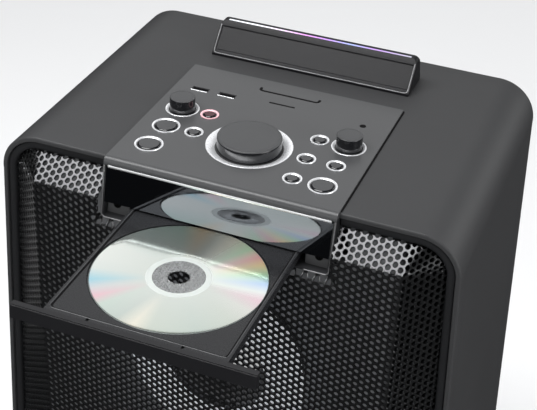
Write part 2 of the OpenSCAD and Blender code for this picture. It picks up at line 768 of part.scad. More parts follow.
// Potentiometers: a bush that takes the shaft, and a can on the board
module potentiometers() {
  bush_h = 3.5;
  color([0.6, 0.6, 0.62]) for (x = [-col_out, 0, col_out]) difference() {
    top = dish_low(x) - dish_floor_t - 0.2;
    union() {
      rod(x, knob_y(x), board_z + 1.6, top - bush_h + eps, x == 0 ? 11 : 8);
      rod(x, knob_y(x), top - bush_h, top, 4.6);
    }
    rod(x, knob_y(x), knob_base(x) - shaft_len - run_gap, top + 1, shaft_r + run_gap);
  }
}

module switch_board() {
  in = tray_w / 2 + slide_gap;
  color([0.1, 0.35, 0.2]) {
    difference() {
      box(-80, 80, panel_front + 14, panel_front + row_back + 14, board_z, board_z + 1.6);
      // Slots for the chassis hangers
      for (x = [-in - 3, in - 0.5]) box(x, x + 3.5, hanger_ys[0] - 0.5, hanger_ys[0] + hanger_w + 0.5,
        board_z - 1, board_z + 3);
    }
    for (b = buttons) rod(b[0], row_y(b[1]), board_z + 1.6, board_z + 1.6 + switch_h, 3);
    for (x = [-78, 78], y = [panel_front + 17, panel_front + row_back + 10])
      rod(x, y, board_z + 1.6, panel_z - panel_t, 1.8);
  }
}

// Cap, retaining flange under the panel and the stem that meets its switch
module button(n) {
  b = buttons[n - 1];
  r = b[2];
  low = panel_z - panel_t - 1.4;
  stem_low = board_z + 1.6 + switch_h + press + 0.2;
  color(n == 4 ? [0.35, 0.1, 0.12] : [0.2, 0.2, 0.21]) translate([b[0], row_y(b[1]), 0]) {
    rotate_extrude() polygon([[0, low], [r + 1, low], [r + 1, low + 1.3], [r, low + 1.3],
      [r, panel_z + button_up - 0.5], [r - 0.5, panel_z + button_up], [r - 1.6, panel_z + button_up],
      [0, panel_z + button_up - 0.3]]);
    translate([0, 0, stem_low]) cylinder(r = 1.6, h = low - stem_low + eps);
  }
}

module button_1() { button(1); }
module button_2() { button(2); }
module button_3() { button(3); }
module button_4() { button(4); }
module button_5() { button(5); }
module button_6() { button(6); }
module button_7() { button(7); }
module button_8() { button(8); }
module button_9() { button(9); }

// Two media sockets: pressed shells standing on the board
module media_sockets() {
  y = panel_front + row_back;
  color([0.7, 0.7, 0.72]) for (x = [-col_out, -col_in]) difference() {
    box(x - 6.7, x + 6.7, y - 2.7, y + 2.7, board_z + 1.6, panel_z - 0.4);
    box(x - 6.2, x + 6.2, y - 2.2, y + 2.2, board_z + 4, panel_z + 1);
  }
}

module status_lens() {
  color([0.15, 0.05, 0.05]) {
    rod(col_out, panel_front + row_back, board_z + 1.6, panel_z + 0.1, 2.3);
  }
}

function gear_point(n, i, k, add) = let (r = tooth_m * n / 2,
  half = 90 / n - tooth_play * 90 / PI / r,
  rr = [r - 1.2 * tooth_m, r - 0.35 * tooth_m, r, r + 0.5 * tooth_m, r + 0.92 * tooth_m][k],
  wide = [1.42, 1.25, 1, 0.74, 0.44][k] * half, a = i * 360 / n + add * wide)
  [rr * cos(a), rr * sin(a)];

// Spur gear outline: each tooth narrows from root to tip in five steps
module gear_2d(n) {
  polygon([for (i = [0:n - 1]) for (k = [0:9])
    k < 5 ? gear_point(n, i, k, -1) : gear_point(n, i, 9 - k, 1)]);
}

module drive_gear() {
  color([0.9, 0.9, 0.86]) translate([pinion_x, pinion_y, 0]) difference() {
    union() {
      translate([0, 0, gear_low]) rotate([0, 0, motor_turn])
        linear_extrude(gear_high - gear_low) gear_2d(gear_n);
      translate([0, 0, gear_high - eps]) rotate([0, 0, 180 + 180 / pinion_n])
        linear_extrude(tray_bot - 0.4 - gear_high + eps) gear_2d(pinion_n);
    }
    translate([0, 0, gear_low - 1]) cylinder(r = post_r + run_gap, h = 20);
  }
}

module motor_pinion() {
  turn = motor_turn + 180 + 180 / motor_n;
  color([0.9, 0.88, 0.7]) translate([motor_x, motor_y, 0]) difference() {
    translate([0, 0, gear_low]) rotate([0, 0, turn]) linear_extrude(gear_high - gear_low) gear_2d(motor_n);
    translate([0, 0, gear_low - 1]) cylinder(r = 1 + run_gap, h = 9);
  }
}

module loader_motor() {
  color([0.65, 0.65, 0.67]) {
    rod(motor_x, motor_y, floor_low - 18, floor_low, 10);
    rod(motor_x, motor_y, floor_low - eps, gear_high, 1);
  }
}

// Chassis: floor, side channels with lips that hold the tray down, and hangers up to the panel
module loader_chassis() {
  in = tray_w / 2 + slide_gap;
  out = in + 2.5;
  color([0.22, 0.22, 0.23]) difference() {
    union() {
      box(-out, out, chassis_front, chassis_back, floor_low, floor_top);
      for (s = [-1, 1]) mirror([s < 0 ? 1 : 0, 0, 0]) {
        box(in, out, chassis_front, chassis_back, floor_low, rim_z + 2.4);
        // Runner under the tray and lip above its rim
        box(in - 3, in + eps, chassis_front, chassis_back, floor_top - eps, tray_bot - slide_gap);
        box(in - 1.6, in + eps, chassis_front, chassis_back, rim_z + slide_gap, rim_z + 2.4);
        // Hangers to the panel and stand of the clamp's bridge
        for (y = hanger_ys) box(in, out, y, y + hanger_w, floor_low, panel_z - panel_t);
        box(in, out, spindle_y - 14, spindle_y + 14, floor_low, disc_z + 10);
        // Ears of the deck's hinge
        box(deck_half + 3, deck_half + 7, hinge_y - 5, hinge_y + 5, floor_top - eps, hinge_z + 4.5);
      }
      rod(pinion_x, pinion_y, floor_low, gear_high + 2.4, post_r);
    }
    // Window for the deck and holes for its hinge and the motor
    box(-deck_half - 2, deck_half + 2, spindle_y - 26, hinge_y + 8, floor_low - 1, floor_top + 1);
    rod(motor_x, motor_y, floor_low - 1, floor_top + 1, 2);
    translate([-60, hinge_y, hinge_z]) rotate([0, 90, 0]) cylinder(r = hinge_r + run_gap, h = 120);
  }
}

module tray() {
  half = tray_w / 2;
  color([0.16, 0.16, 0.17]) difference() {
    union() {
      box(-half, half, tray_front, tray_back, tray_bot, rim_z);
      // Rack on the left
      box(-half + 3.4, rack_x - 1.2 * tooth_m, tray_front + 5, tray_back - 2, rack_low, tray_bot + eps);
      for (i = [0:floor((tray_len - 12) / (PI * tooth_m))]) rack_tooth(i);
    }
    // Recesses of the large and the small disc
    rod(0, disc_y, disc_z - disc_t, rim_z + 1, disc_r + 1);
    rod(0, disc_y, disc_z - disc_t - 1, rim_z + 1, small_disc_r + 1);
    // Opening for the turntable and the pickup
    rod(0, disc_y, tray_bot - 1, rim_z + 1, bay_half);
    box(-bay_half, bay_half, disc_y, disc_y + 56, tray_bot - 1, rim_z + 1);
    box(-half + 22, half - 22, disc_y + 68, tray_back + 1, tray_bot - 1, rim_z + 1);
    box(-bay_half, bay_half, disc_y + 50, disc_y + 72, tray_bot - 1, rim_z + 1);
    // Floor of the tray inside its rim, and the notches of its front wall
    box(-half + 2.4, half - 2.4, tray_front + 4, tray_back + 1, rim_z - 0.8, rim_z + 1);
    for (x = [-notch_x, notch_x])
      box(x - 1, x + 1, tray_front - 1, tray_front + 5, rim_z - 1.8, rim_z + 1);
  }
}

function rack_y0() = pinion_y - PI * tooth_m * floor((pinion_y - tray_front - 6) / (PI * tooth_m));

module rack_tooth(i) {
  y = rack_y0() + i * PI * tooth_m;
  w = PI * tooth_m / 4 - tooth_play / 2;
  if (y + w * 1.5 < tray_back - 2)
    translate([rack_x, y, rack_low]) linear_extrude(tray_bot - rack_low + eps)
      polygon([[-1.2 * tooth_m - 0.1, -w * 1.55], [0, -w], [0.9 * tooth_m, -w * 0.52],
        [0.9 * tooth_m, w * 0.52], [0, w], [-1.2 * tooth_m - 0.1, w * 1.55]]);
}

// Door of the tray with the cross-piece that joins them
module tray_door() {
  gap = 0.35;
  x = panel_w / 2 - rim - gap;
  color([0.1, 0.1, 0.11]) translate([0, -tray_travel, 0]) {
    difference() {
      leaning(-x, x, 0.2, door_t - 0.1, door_bot, door_top);
      leaning(-x - 1, x + 1, -2, 0.9, door_top - 0.8, door_top + 1);
    }
    difference() {
      box(-tray_w / 2 - 1.5, tray_w / 2 + 1.5, lean_y(door_top) + door_t - 1.5,
        lean_y(door_top) + door_t, tray_bot, rim_z - 0.2);
      for (x = [-notch_x, notch_x]) box(x - 1, x + 1, lean_y(door_top), lean_y(door_top) + door_t + 1,
        rim_z - 1.6, rim_z + 1);
    }
  }
}

module disc() {
  color([0.85, 0.9, 0.88]) tube(0, disc_y, disc_z - disc_t, disc_z, disc_r, 7.5);
}

// Swings the pickup parts down about the deck's hinge, as they hang while the tray is open
module hung() {
  translate([0, hinge_y, hinge_z]) rotate([deck_drop, 0, 0]) translate([0, -hinge_y, -hinge_z]) children();
}

module pickup_deck() {
  color([0.25, 0.25, 0.27]) hung() difference() {
    union() {
      box(-deck_half, deck_half, spindle_y - 24, hinge_y, deck_low, deck_high);
      translate([-deck_half, hinge_y, hinge_z]) rotate([0, 90, 0]) cylinder(r = 4, h = 2 * deck_half);
      translate([-deck_half - 8, hinge_y, hinge_z]) rotate([0, 90, 0])
        cylinder(r = hinge_r, h = 2 * deck_half + 16);
      for (x = [-rail_x, rail_x], y = [spindle_y + 18, hinge_y - 9]) box(x - 3, x + 3, y - 2, y + 2,
        deck_high - eps, rail_z + 2.6);
      rod(0, spindle_y, deck_low - 6, deck_low + eps, 12);
    }
    box(-11, 11, spindle_y + 21, hinge_y - 7, deck_low - 1, deck_high + 1);
    rod(0, spindle_y, deck_low - 2, deck_high + 1, 1.5 + run_gap);
    for (x = [-rail_x, rail_x]) bar_y(x, rail_z, spindle_y + 10, hinge_y - 4, rail_r);
  }
}

module sled_rails() {
  color([0.8, 0.8, 0.82]) hung() for (x = [-rail_x, rail_x])
    bar_y(x, rail_z, spindle_y + 16, hinge_y - 7, rail_r);
}

module turntable() {
  color([0.15, 0.15, 0.16]) hung() {
    translate([0, spindle_y, 0]) rotate_extrude() polygon([[0, deck_low - 1], [1.5, deck_low - 1],
      [1.5, deck_high + 0.8], [15, table_top - 1.6], [15, table_top], [hub_r, table_top],
      [hub_r - 0.2, table_top + 1], [hub_r - 2.4, table_top + 2.6], [0, table_top + 2.6]]);
  }
}

// Laser sled on its two rails, with the lens on a small tower
module pickup_sled() {
  y0 = spindle_y + 21.5;
  color([0.1, 0.1, 0.1]) hung() difference() {
    union() {
      box(-rail_x - 3.4, rail_x + 3.4, y0, y0 + 18, rail_z - 2.4, rail_z + 2.4);
      box(-9, 9, y0 + 2, y0 + 16, rail_z - 8, rail_z);
      rod(0, y0 + 5, rail_z + 2.4 - eps, rail_z + 3.4, 4.6);
    }
    for (x = [-rail_x, rail_x]) bar_y(x, rail_z, y0 - 1, y0 + 19, rail_r + run_gap);
    rod(0, y0 + 5, rail_z + 2.6, rail_z + 4, 3);
  }
}

module clamp_bridge() {
  z = disc_z + 10;
  in = tray_w / 2 + slide_gap;
  color([0.6, 0.6, 0.62]) difference() {
    union() {
      box(-in - 2, in + 2, spindle_y - 13, spindle_y + 13, z, z + 1.5);
      rod(0, spindle_y, z, z + 1.5, 20);
    }
    rod(0, spindle_y, z - 1, z + 3, 13);
  }
}

module clamp_puck() {
  z = disc_z + 10;
  color([0.2, 0.2, 0.2]) translate([0, spindle_y, 0]) rotate_extrude() polygon([[8, disc_z + 4],
    [15, disc_z + 4], [15, disc_z + 6], [12, disc_z + 6], [12, z + 1.5], [16, z + 1.5], [16, z + 3],
    [0, z + 3], [0, z + 1], [8, z + 1]]);
}

cabinet_wrap();
rear_panel();
rear_screws();
bass_port();
mains_inlet();
power_supply();
amplifier_board();
feet();
foot_screws();
baffle();
front_bezel();
grille();
upper_woofer_basket();
upper_woofer_cone();
upper_light_ring();
lower_woofer_basket();
lower_woofer_cone();
lower_light_ring();
tablet_rest();
rest_light();
control_panel();
chrome_strip();
module_frame();
window();
frame_screws();
control_rings();
volume_knob();
left_knob();
right_knob();
potentiometers();
switch_board();
media_sockets();
status_lens();
button_1();
button_2();
button_3();
button_4();
button_5();
button_6();
button_7();
button_8();
button_9();
loader_chassis();
tray();
tray_door();
disc();
drive_gear();
motor_pinion();
loader_motor();
pickup_deck();
sled_rails();
turntable();
pickup_sled();
clamp_bridge();
clamp_puck();
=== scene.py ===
import json
from contextlib import contextmanager
from math import atan, cos, hypot, pi, radians, sin, sqrt, tan

import bmesh
import bpy
import numpy as np
from mathutils import Matrix, Vector

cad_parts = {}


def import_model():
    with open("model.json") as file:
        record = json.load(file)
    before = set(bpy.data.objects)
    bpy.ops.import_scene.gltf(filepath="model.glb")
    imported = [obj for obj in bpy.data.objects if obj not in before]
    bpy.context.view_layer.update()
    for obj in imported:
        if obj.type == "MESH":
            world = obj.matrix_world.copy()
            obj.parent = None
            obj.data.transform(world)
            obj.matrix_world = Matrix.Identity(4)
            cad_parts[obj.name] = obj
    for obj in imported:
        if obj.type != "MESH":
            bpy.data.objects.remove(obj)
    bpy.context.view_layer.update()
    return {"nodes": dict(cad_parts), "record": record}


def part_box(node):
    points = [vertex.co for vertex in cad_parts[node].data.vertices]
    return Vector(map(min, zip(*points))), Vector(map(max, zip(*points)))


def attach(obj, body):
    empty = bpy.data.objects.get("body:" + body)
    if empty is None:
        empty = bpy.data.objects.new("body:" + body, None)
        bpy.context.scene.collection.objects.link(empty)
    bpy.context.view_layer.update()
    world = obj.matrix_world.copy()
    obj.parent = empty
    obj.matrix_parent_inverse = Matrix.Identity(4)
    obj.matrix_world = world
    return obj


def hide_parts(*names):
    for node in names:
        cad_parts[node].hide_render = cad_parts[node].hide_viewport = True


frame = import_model()


mm = 0.001


def span(nodeName):
    # Lowest and highest corner of a node: its box in metres times a thousand
    low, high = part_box(nodeName)
    return np.array(low) * 1000, np.array(high) * 1000


def roundNode(nodeName):
    # Middle, radius and top of an upright round node: half its box's sums, half its width, its height
    low, high = span(nodeName)
    return (low[0] + high[0]) / 2, (low[1] + high[1]) / 2, (high[0] - low[0]) / 2, high[2]


# Places that the pieces share, in millimetres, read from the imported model
wrapLow, wrapHigh = span("cabinet_wrap")
bezelLow, bezelHigh = span("front_bezel")
frameLow, frameHigh = span("module_frame")
windowLow, windowHigh = span("window")
restLow, restHigh = span("tablet_rest")
panelHigh = span("control_panel")[1]
sheetFront = span("grille")[0][1]
panelZ = panelHigh[2]
topZ = wrapHigh[2]
footZ = wrapLow[2]
frontY = wrapLow[1]
# Half width of the cabinet's top, and how far each side leans out on its way down
topHalf = 174.0
flare = 26.0
sideRun = flare / (topZ - footZ)
sideLen = hypot(1, sideRun)


def sideX(z):
    # Half width at height z: the top's half width plus the side's run times the drop from the top
    return topHalf + sideRun * (topZ - z)


# Node helpers
def feed(made, inputs):
    # Each named socket gets a link where the value is a socket, and a fixed value otherwise
    for key, value in inputs.items():
        if isinstance(value, bpy.types.NodeSocket):
            made.id_data.links.new(value, made.inputs[key])
        else:
            made.inputs[key].default_value = value
    return made


def newMaterial(name):
    # A material whose tree holds only a principled shader and its output
    material = bpy.data.materials.new(name)
    material.use_nodes = True
    tree = material.node_tree
    tree.nodes.clear()
    out = tree.nodes.new("ShaderNodeOutputMaterial")
    shader = tree.nodes.new("ShaderNodeBsdfPrincipled")
    tree.links.new(shader.outputs[0], out.inputs[0])
    return material, tree, shader


def node(tree, kind, inputs=None, **settings):
    # One shader node: its settings come first, since they can change its sockets
    made = tree.nodes.new("ShaderNode" + kind)
    for key, value in settings.items():
        setattr(made, key, value)
    return feed(made, inputs or {})


def mathNode(operation, a, b=0.0):
    # The named operation on socket a and b, in the tree of a
    return node(a.id_data, "Math", {0: a, 1: b}, operation=operation).outputs[0]


def coords(tree):
    # Object coordinates, in metres, which are the shared frame's
    return node(tree, "TexCoord").outputs["Object"]


def mix(factor, a, b):
    # Colour a at factor 0 and colour b at factor 1
    return node(factor.id_data, "Mix", {0: factor, 6: a, 7: b}, data_type="RGBA").outputs[2]


def remap(value, low, high, first=0.0, last=1.0):
    # From first at low to last at high along a straight line, held beyond both
    return node(value.id_data, "MapRange", {0: value, 1: low, 2: high, 3: first, 4: last}).outputs[0]


def distance(a, b):
    # Square root of a squared plus b squared
    return mathNode("SQRT", mathNode("ADD", mathNode("POWER", a, 2.0), mathNode("POWER", b, 2.0)))


def bumpNode(height, strength, depth=0.0004):
    # A normal tilted by the slope of height
    return node(height.id_data, "Bump", {"Strength": strength, "Distance": depth, "Height": height}).outputs[0]


def ramp(factor, stops):
    # Colours by factor: straight runs between (place, colour) stops
    made = node(factor.id_data, "ValToRGB", {0: factor})
    elements = made.color_ramp.elements
    while len(elements) < len(stops):
        elements.new(0.5)
    for element, (position, colour) in zip(elements, stops):
        element.position = position
        element.color = (*colour, 1)
    return made.outputs[0]


def grainGroup():
    # Grain of moulded plastic: bump height is fine noise plus 0.4 of the cells' distance, with slow patches
    group = bpy.data.node_groups.new("mouldedGrain", "ShaderNodeTree")
    face = group.interface
    for name, default in (("Scale", 900.0), ("Depth", 0.1), ("Patch", 25.0)):
        face.new_socket(name, in_out="INPUT", socket_type="NodeSocketFloat").default_value = default
    for name, kind in (("Normal", "Vector"), ("Patches", "Float"), ("Grain", "Float")):
        face.new_socket(name, in_out="OUTPUT", socket_type="NodeSocket" + kind)
    given = group.nodes.new("NodeGroupInput").outputs
    place = coords(group)
    fine = node(group, "TexNoise", {"Vector": place, "Scale": given["Scale"], "Detail": 3.0, "Roughness": 0.6})
    cells = node(group, "TexVoronoi", {"Vector": place, "Scale": given["Scale"]})
    patch = node(group, "TexNoise", {"Vector": place, "Scale": given["Patch"], "Detail": 4.0})
    dents = mathNode("MULTIPLY", cells.outputs["Distance"], 0.4)
    height = mathNode("ADD", fine.outputs["Fac"], dents)
    feed(group.nodes.new("NodeGroupOutput"), {"Normal": bumpNode(height, given["Depth"]),
                                              "Patches": patch.outputs["Fac"], "Grain": fine.outputs["Fac"]})
    return group


grain = grainGroup()
glossSwing = (-0.06, 0.08)


def moulded(name, colour, rough, scale, depth, patch, spread, metallic=0.0, specular=0.5):
    # One colour, less and more the spread over the patches, with the gloss swinging round rough by the grain
    material, tree, shader = newMaterial(name)
    made = node(tree, "Group", node_tree=grain)
    feed(made, {"Scale": scale, "Depth": depth, "Patch": patch})
    low = [c * (1 - spread) for c in colour] + [1]
    high = [min(c * (1 + spread), 1) for c in colour] + [1]
    rougher = remap(made.outputs["Grain"], 0.0, 1.0, rough + glossSwing[0], rough + glossSwing[1])
    feed(shader, {"Base Color": mix(made.outputs["Patches"], low, high), "Roughness": rougher,
                  "Normal": made.outputs["Normal"], "Metallic": metallic, "Specular IOR Level": specular})
    return material


# Each row: name, colour, roughness, grain's scale and depth, patches' scale and spread, metallic, specular
finishes = {
    "wrap": ("wrapPlastic", (0.038, 0.0385, 0.04), 0.52, 1100, 0.25, 14, 0.08, 0.0, 0.35),
    "bezel": ("bezelPlastic", (0.016, 0.0165, 0.018), 0.5, 1300, 0.12, 30, 0.1, 0.0, 0.3),
    "frame": ("framePlastic", (0.02, 0.0205, 0.022), 0.4, 1300, 0.1, 30, 0.1, 0.0, 0.4),
    "panel": ("panelLacquer", (0.056, 0.057, 0.059), 0.33, 1500, 0.06, 18, 0.05, 0.0, 0.4),
    "knobTop": ("knobTop", (0.058, 0.059, 0.061), 0.45, 1500, 0.08, 40, 0.06, 0.0, 0.3),
    "knobSide": ("knobSide", (0.006, 0.0065, 0.008), 0.16, 1500, 0.03, 40, 0.1, 0.0, 0.7),
    "buttonTop": ("buttonTop", (0.055, 0.056, 0.058), 0.4, 1500, 0.06, 60, 0.08, 0.0, 0.35),
    "bead": ("beadPlate", (0.92, 0.93, 0.94), 0.3, 700, 0.02, 60, 0.02, 0.7),
    "rimLine": ("rimSatin", (0.2, 0.2, 0.205), 0.3, 900, 0.06, 40, 0.1, 0.5),
    "trayRim": ("trayRim", (0.045, 0.046, 0.048), 0.3, 1300, 0.06, 40, 0.1),
    "plate": ("screwPlate", (0.085, 0.086, 0.088), 0.5, 900, 0.1, 40, 0.1),
    "redButton": ("redButton", (0.06, 0.022, 0.026), 0.3, 1500, 0.06, 60, 0.1, 0.0, 0.35),
    "chrome": ("chromePlate", (0.86, 0.87, 0.88), 0.12, 500, 0.02, 60, 0.02, 1.0),
    "ring": ("ringPlate", (0.88, 0.89, 0.91), 0.28, 900, 0.03, 60, 0.02, 0.55),
    "redRing": ("redRingPlate", (0.85, 0.5, 0.54), 0.34, 900, 0.03, 60, 0.02, 0.1),
    "gloss": ("glossWindow", (0.23, 0.245, 0.265), 0.035, 300, 0.003, 20, 0.02, 1.0),
    "tray": ("trayPlastic", (0.016, 0.0165, 0.018), 0.27, 1300, 0.1, 30, 0.1, 0.0, 0.35),
    "door": ("doorPlastic", (0.011, 0.011, 0.0125), 0.36, 1300, 0.08, 30, 0.1, 0.0, 0.4),
    "grille": ("grilleCoat", (0.062, 0.063, 0.065), 0.24, 1600, 0.06, 40, 0.06, 0.88),
    "rest": ("restPlastic", (0.008, 0.008, 0.0095), 0.42, 1300, 0.08, 25, 0.1, 0.0, 0.22),
    "rubber": ("footRubber", (0.015, 0.015, 0.015), 0.8, 700, 0.3, 40, 0.15),
    "rear": ("rearPlastic", (0.016, 0.016, 0.017), 0.6, 800, 0.3, 20, 0.1),
    "screw": ("screwOxide", (0.012, 0.012, 0.012), 0.35, 900, 0.1, 90, 0.2, 0.8),
    "steel": ("platedSteel", (0.55, 0.55, 0.56), 0.3, 700, 0.1, 60, 0.08, 1.0),
    "basket": ("basketPaint", (0.02, 0.02, 0.022), 0.5, 800, 0.2, 40, 0.1),
    "acetal": ("acetalGear", (0.7, 0.69, 0.62), 0.4, 900, 0.06, 60, 0.05),
    "circuit": ("circuitLacquer", (0.02, 0.12, 0.05), 0.35, 400, 0.2, 120, 0.3),
    "discEdge": ("discEdge", (0.16, 0.18, 0.175), 0.6, 900, 0.05, 40, 0.05),
    "frosted": ("frostedClear", (0.47, 0.5, 0.48), 0.35, 900, 0.05, 60, 0.04),
    "lens": ("lensSmoke", (0.004, 0.0035, 0.004), 0.55, 500, 0.01, 20, 0.1, 0.0, 0.1),
    "socket": ("socketPlastic", (0.008, 0.008, 0.009), 0.4, 1200, 0.05, 60, 0.1),
}
look = {key: moulded(*row) for key, row in finishes.items()}

# Cone seen through the sheet: edges in millimetres, and how bright its rim, cap and gap are, as glow: painted light
# on the rim and cap, painted shade in the gap at the cap's edge
woofer = {"capEdge": 30.0, "gapEdge": 41.0, "blur": 0.001, "glow": 0.02, "capPaintedLight": 0.36, "gapPaintedShade": 0.012}


def woofersMiddle():
    # Height halfway between the two woofers and half the distance between them, in metres
    upper, lower = (sum(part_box("%s_woofer_cone" % name)[k][2] for k in (0, 1)) / 2 for name in ("upper", "lower"))
    return (upper + lower) / 2, (upper - lower) / 2


def coneMaterial(own=woofer):
    # Pulp cone whose light and shade are painted in as glow, standing in for its ring's light. The distance from
    # the nearer axis is the root of x squared plus the height beyond that axis squared; the level is the rim's
    # painted light outside the gap plus the cap's painted light inside its edge
    material, tree, shader = newMaterial("conePulp")
    place = coords(tree)
    x, _, z = node(tree, "SeparateXYZ", {0: place}).outputs
    middle, apart = woofersMiddle()
    height = mathNode("SUBTRACT", mathNode("ABSOLUTE", mathNode("SUBTRACT", z, middle)), apart)
    radius = distance(x, height)
    gap, cap = own["gapEdge"] * mm, own["capEdge"] * mm
    # The gap between rim and cap keeps only a faint glow and a dark base colour: painted shade at the cap's edge
    outside = mathNode("MULTIPLY", remap(radius, gap - own["blur"], gap), own["glow"])
    inside = mathNode("MULTIPLY", remap(radius, cap - own["blur"], cap, 1.0, 0.0), own["capPaintedLight"])
    level = mathNode("ADD", mathNode("ADD", outside, inside), own["gapPaintedShade"])
    fibre = node(tree, "TexNoise", {"Vector": place, "Scale": 420.0, "Detail": 8.0, "Roughness": 0.7})
    # Emission and base colour both follow the level, so light and shade are painted into the cone
    feed(shader, {"Emission Color": mix(level, (0, 0, 0, 1), (1, 1, 1, 1)), "Emission Strength": 1.0,
                  "Base Color": mix(level, (0.02, 0.02, 0.022, 1), (0.5, 0.51, 0.53, 1)),
                  "Normal": bumpNode(fibre.outputs["Fac"], 0.4, 0.0005), "Roughness": 0.55})
    return material


# Field of the cloth behind the sheet, in metres, and its colours; beyond the field the cloth takes the dark colour
# as painted shade of the chamber
cloth = {"left": -0.17, "right": 0.124, "fade": 0.008, "light": (0.34, 0.346, 0.356, 1),
         "dark": (0.002, 0.002, 0.002, 1)}


def clothMaterial(own=cloth):
    # Speaker cloth: the weave's noise plus a half, times one inside the field and zero beyond both its ends, where
    # the dark colour is painted shade
    material, tree, shader = newMaterial("baffleCloth")
    place = coords(tree)
    across = node(tree, "SeparateXYZ", {0: place}).outputs[0]
    # Masks that paint shade on the cloth beyond the field's ends
    fromRight = remap(across, own["right"], own["right"] + own["fade"], 1.0, 0.0)
    fromLeft = remap(across, own["left"], own["left"] + own["fade"])
    weave = node(tree, "TexNoise", {"Vector": place, "Scale": 900.0, "Detail": 3.0}).outputs["Fac"]
    level = mathNode("MULTIPLY", fromRight, mathNode("ADD", weave, 0.5))
    level = mathNode("MULTIPLY", level, fromLeft)
    feed(shader, {"Base Color": mix(level, own["dark"], own["light"]), "Roughness": 0.9,
                  "Normal": bumpNode(weave, 0.4), "Specular IOR Level": 0.1})
    return material


def lit(material, shader, colour, strength):
    # A diffuser of the given colour that shines by strength
    feed(shader, {"Emission Color": colour, "Base Color": colour, "Emission Strength": strength,
                  "Roughness": 0.35})
    return material


def haloMaterial(name, colour, strength, dim=0.85):
    # A lit diffuser, down to dim of its colour where the noise is low
    material, tree, shader = newMaterial(name)
    patch = node(tree, "TexNoise", {"Vector": coords(tree), "Scale": 28.0, "Detail": 2.0})
    glow = mix(patch.outputs["Fac"], (*[c * dim for c in colour], 1), (*colour, 1))
    return lit(material, shader, glow, strength)


restColours = [(0.0, (0.5, 0.52, 0.56)), (0.14, (0.75, 0.78, 0.82)), (0.3, (0.62, 0.5, 0.66)),
               (0.42, (0.5, 0.22, 0.55)), (0.55, (0.36, 0.2, 0.6)), (0.68, (0.25, 0.32, 0.62)),
               (0.8, (0.34, 0.2, 0.5)), (1.0, (0.3, 0.3, 0.36))]


def restGlowMaterial():
    # Lit strip of the rest: colours by the share of the way along its length
    material, tree, shader = newMaterial("restDiffuser")
    across = node(tree, "SeparateXYZ", {0: coords(tree)}).outputs[0]
    low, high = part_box("rest_light")
    return lit(material, shader, ramp(remap(across, low[0], high[0]), restColours), 0.7)


look["cone"] = coneMaterial()
look["halo"] = haloMaterial("haloDiffuser", (0.93, 0.95, 1.0), 0.34)
look["restGlow"] = restGlowMaterial()
look["cloth"] = clothMaterial()
print("materials done")


# Mesh helpers
def addObject(name, data):
    # A new object in the scene's collection, at the origin
    made = bpy.data.objects.new(name, data)
    bpy.context.scene.collection.objects.link(made)
    return made


def assign(made, body, replaced):
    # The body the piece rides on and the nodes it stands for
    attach(made, body)
    if replaced:
        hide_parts(*replaced)
    return made


@contextmanager
def editing(mesh):
    # Opens a mesh for edits and writes them back at the end
    work = bmesh.new()
    work.from_mesh(mesh)
    yield work
    work.to_mesh(mesh)
    work.free()


def xyz(x, y, z):
    # Points from their three coordinates, each an array or one value for all
    return np.stack(np.broadcast_arrays(x, y, z), -1)


def circle(sides):
    # Cosines and sines of as many equal steps round a full turn
    angle = np.linspace(0, 2 * pi, sides, endpoint=False)
    return np.cos(angle), np.sin(angle)


def unit(arrows):
    # Each vector divided by its length
    return arrows / np.linalg.norm(arrows, axis=-1, keepdims=True)


def makeMesh(name, points, faces, body, looks, replaced=(), slotName=None, sharp=50):
    # A smooth mesh from points in millimetres, with one look or a list; edges over the sharp angle stay sharp
    mesh = bpy.data.meshes.new(name)
    mesh.from_pydata((np.asarray(points, float) * mm).tolist(), [], faces)
    mesh.validate()
    mesh.shade_smooth()
    mesh.set_sharp_from_angle(angle=radians(sharp))
    for key in [looks] if isinstance(looks, str) else looks:
        mesh.materials.append(look[key])
    return assign(addObject(name, mesh), body, replaced)


def quickMesh(name, points, quads, key, replaced=(), weld=True):
    # The same for the cabinet from whole arrays, quads only; welding joins points closer than 0.02 mm
    mesh = bpy.data.meshes.new(name)
    mesh.vertices.add(len(points))
    mesh.vertices.foreach_set("co", (np.asarray(points) * mm).ravel())
    quads = np.asarray(quads, dtype=np.int32)
    mesh.loops.add(quads.size)
    mesh.loops.foreach_set("vertex_index", quads.ravel())
    mesh.polygons.add(len(quads))
    mesh.polygons.foreach_set("loop_start", np.arange(0, quads.size, 4, dtype=np.int32))
    mesh.update(calc_edges=True)
    mesh.validate()
    if weld:
        with editing(mesh) as work:
            bmesh.ops.remove_doubles(work, verts=work.verts, dist=2e-5)
    mesh.shade_smooth()
    mesh.set_sharp_from_angle(angle=radians(40))
    mesh.materials.append(look[key])
    return assign(addObject(name, mesh), "cabinet", replaced)


def join(parts):
    # Points and faces of several (points, faces) parts as one: later faces count on from the earlier points
    points, faces, start = [], [], 0
    for some, polygons in parts:
        points.append(np.asarray(some, float).reshape(-1, 3))
        faces += [[k + start for k in f] for f in polygons]
        start += len(points[-1])
    return np.concatenate(points), faces


def gridFaces(rows, cols, closeRows=False, closeCols=False, flip=False):
    # Quads between neighbouring rows and columns; point number is the row times the columns plus the column
    faces = []
    for i in range(rows if closeRows else rows - 1):
        for j in range(cols if closeCols else cols - 1):
            a, b = i * cols + j, i * cols + (j + 1) % cols
            c, d = ((i + 1) % rows) * cols + (j + 1) % cols, ((i + 1) % rows) * cols + j
            faces.append([a, d, c, b] if flip else [a, b, c, d])
    return faces


def lathe(profile, x, y, segments=96, closed=False):
    # (radius, height) pairs turned about the upright axis at x, y: radius times cosine and sine of the angle
    profile = np.asarray(profile, float)
    r, h = profile[:, :1], profile[:, 1:]
    c, s = circle(segments)
    points = xyz(r * c, r * s, h).reshape(-1, 3) + np.array([x, y, 0.0])
    return points, gridFaces(len(profile), segments, closed, True, True)


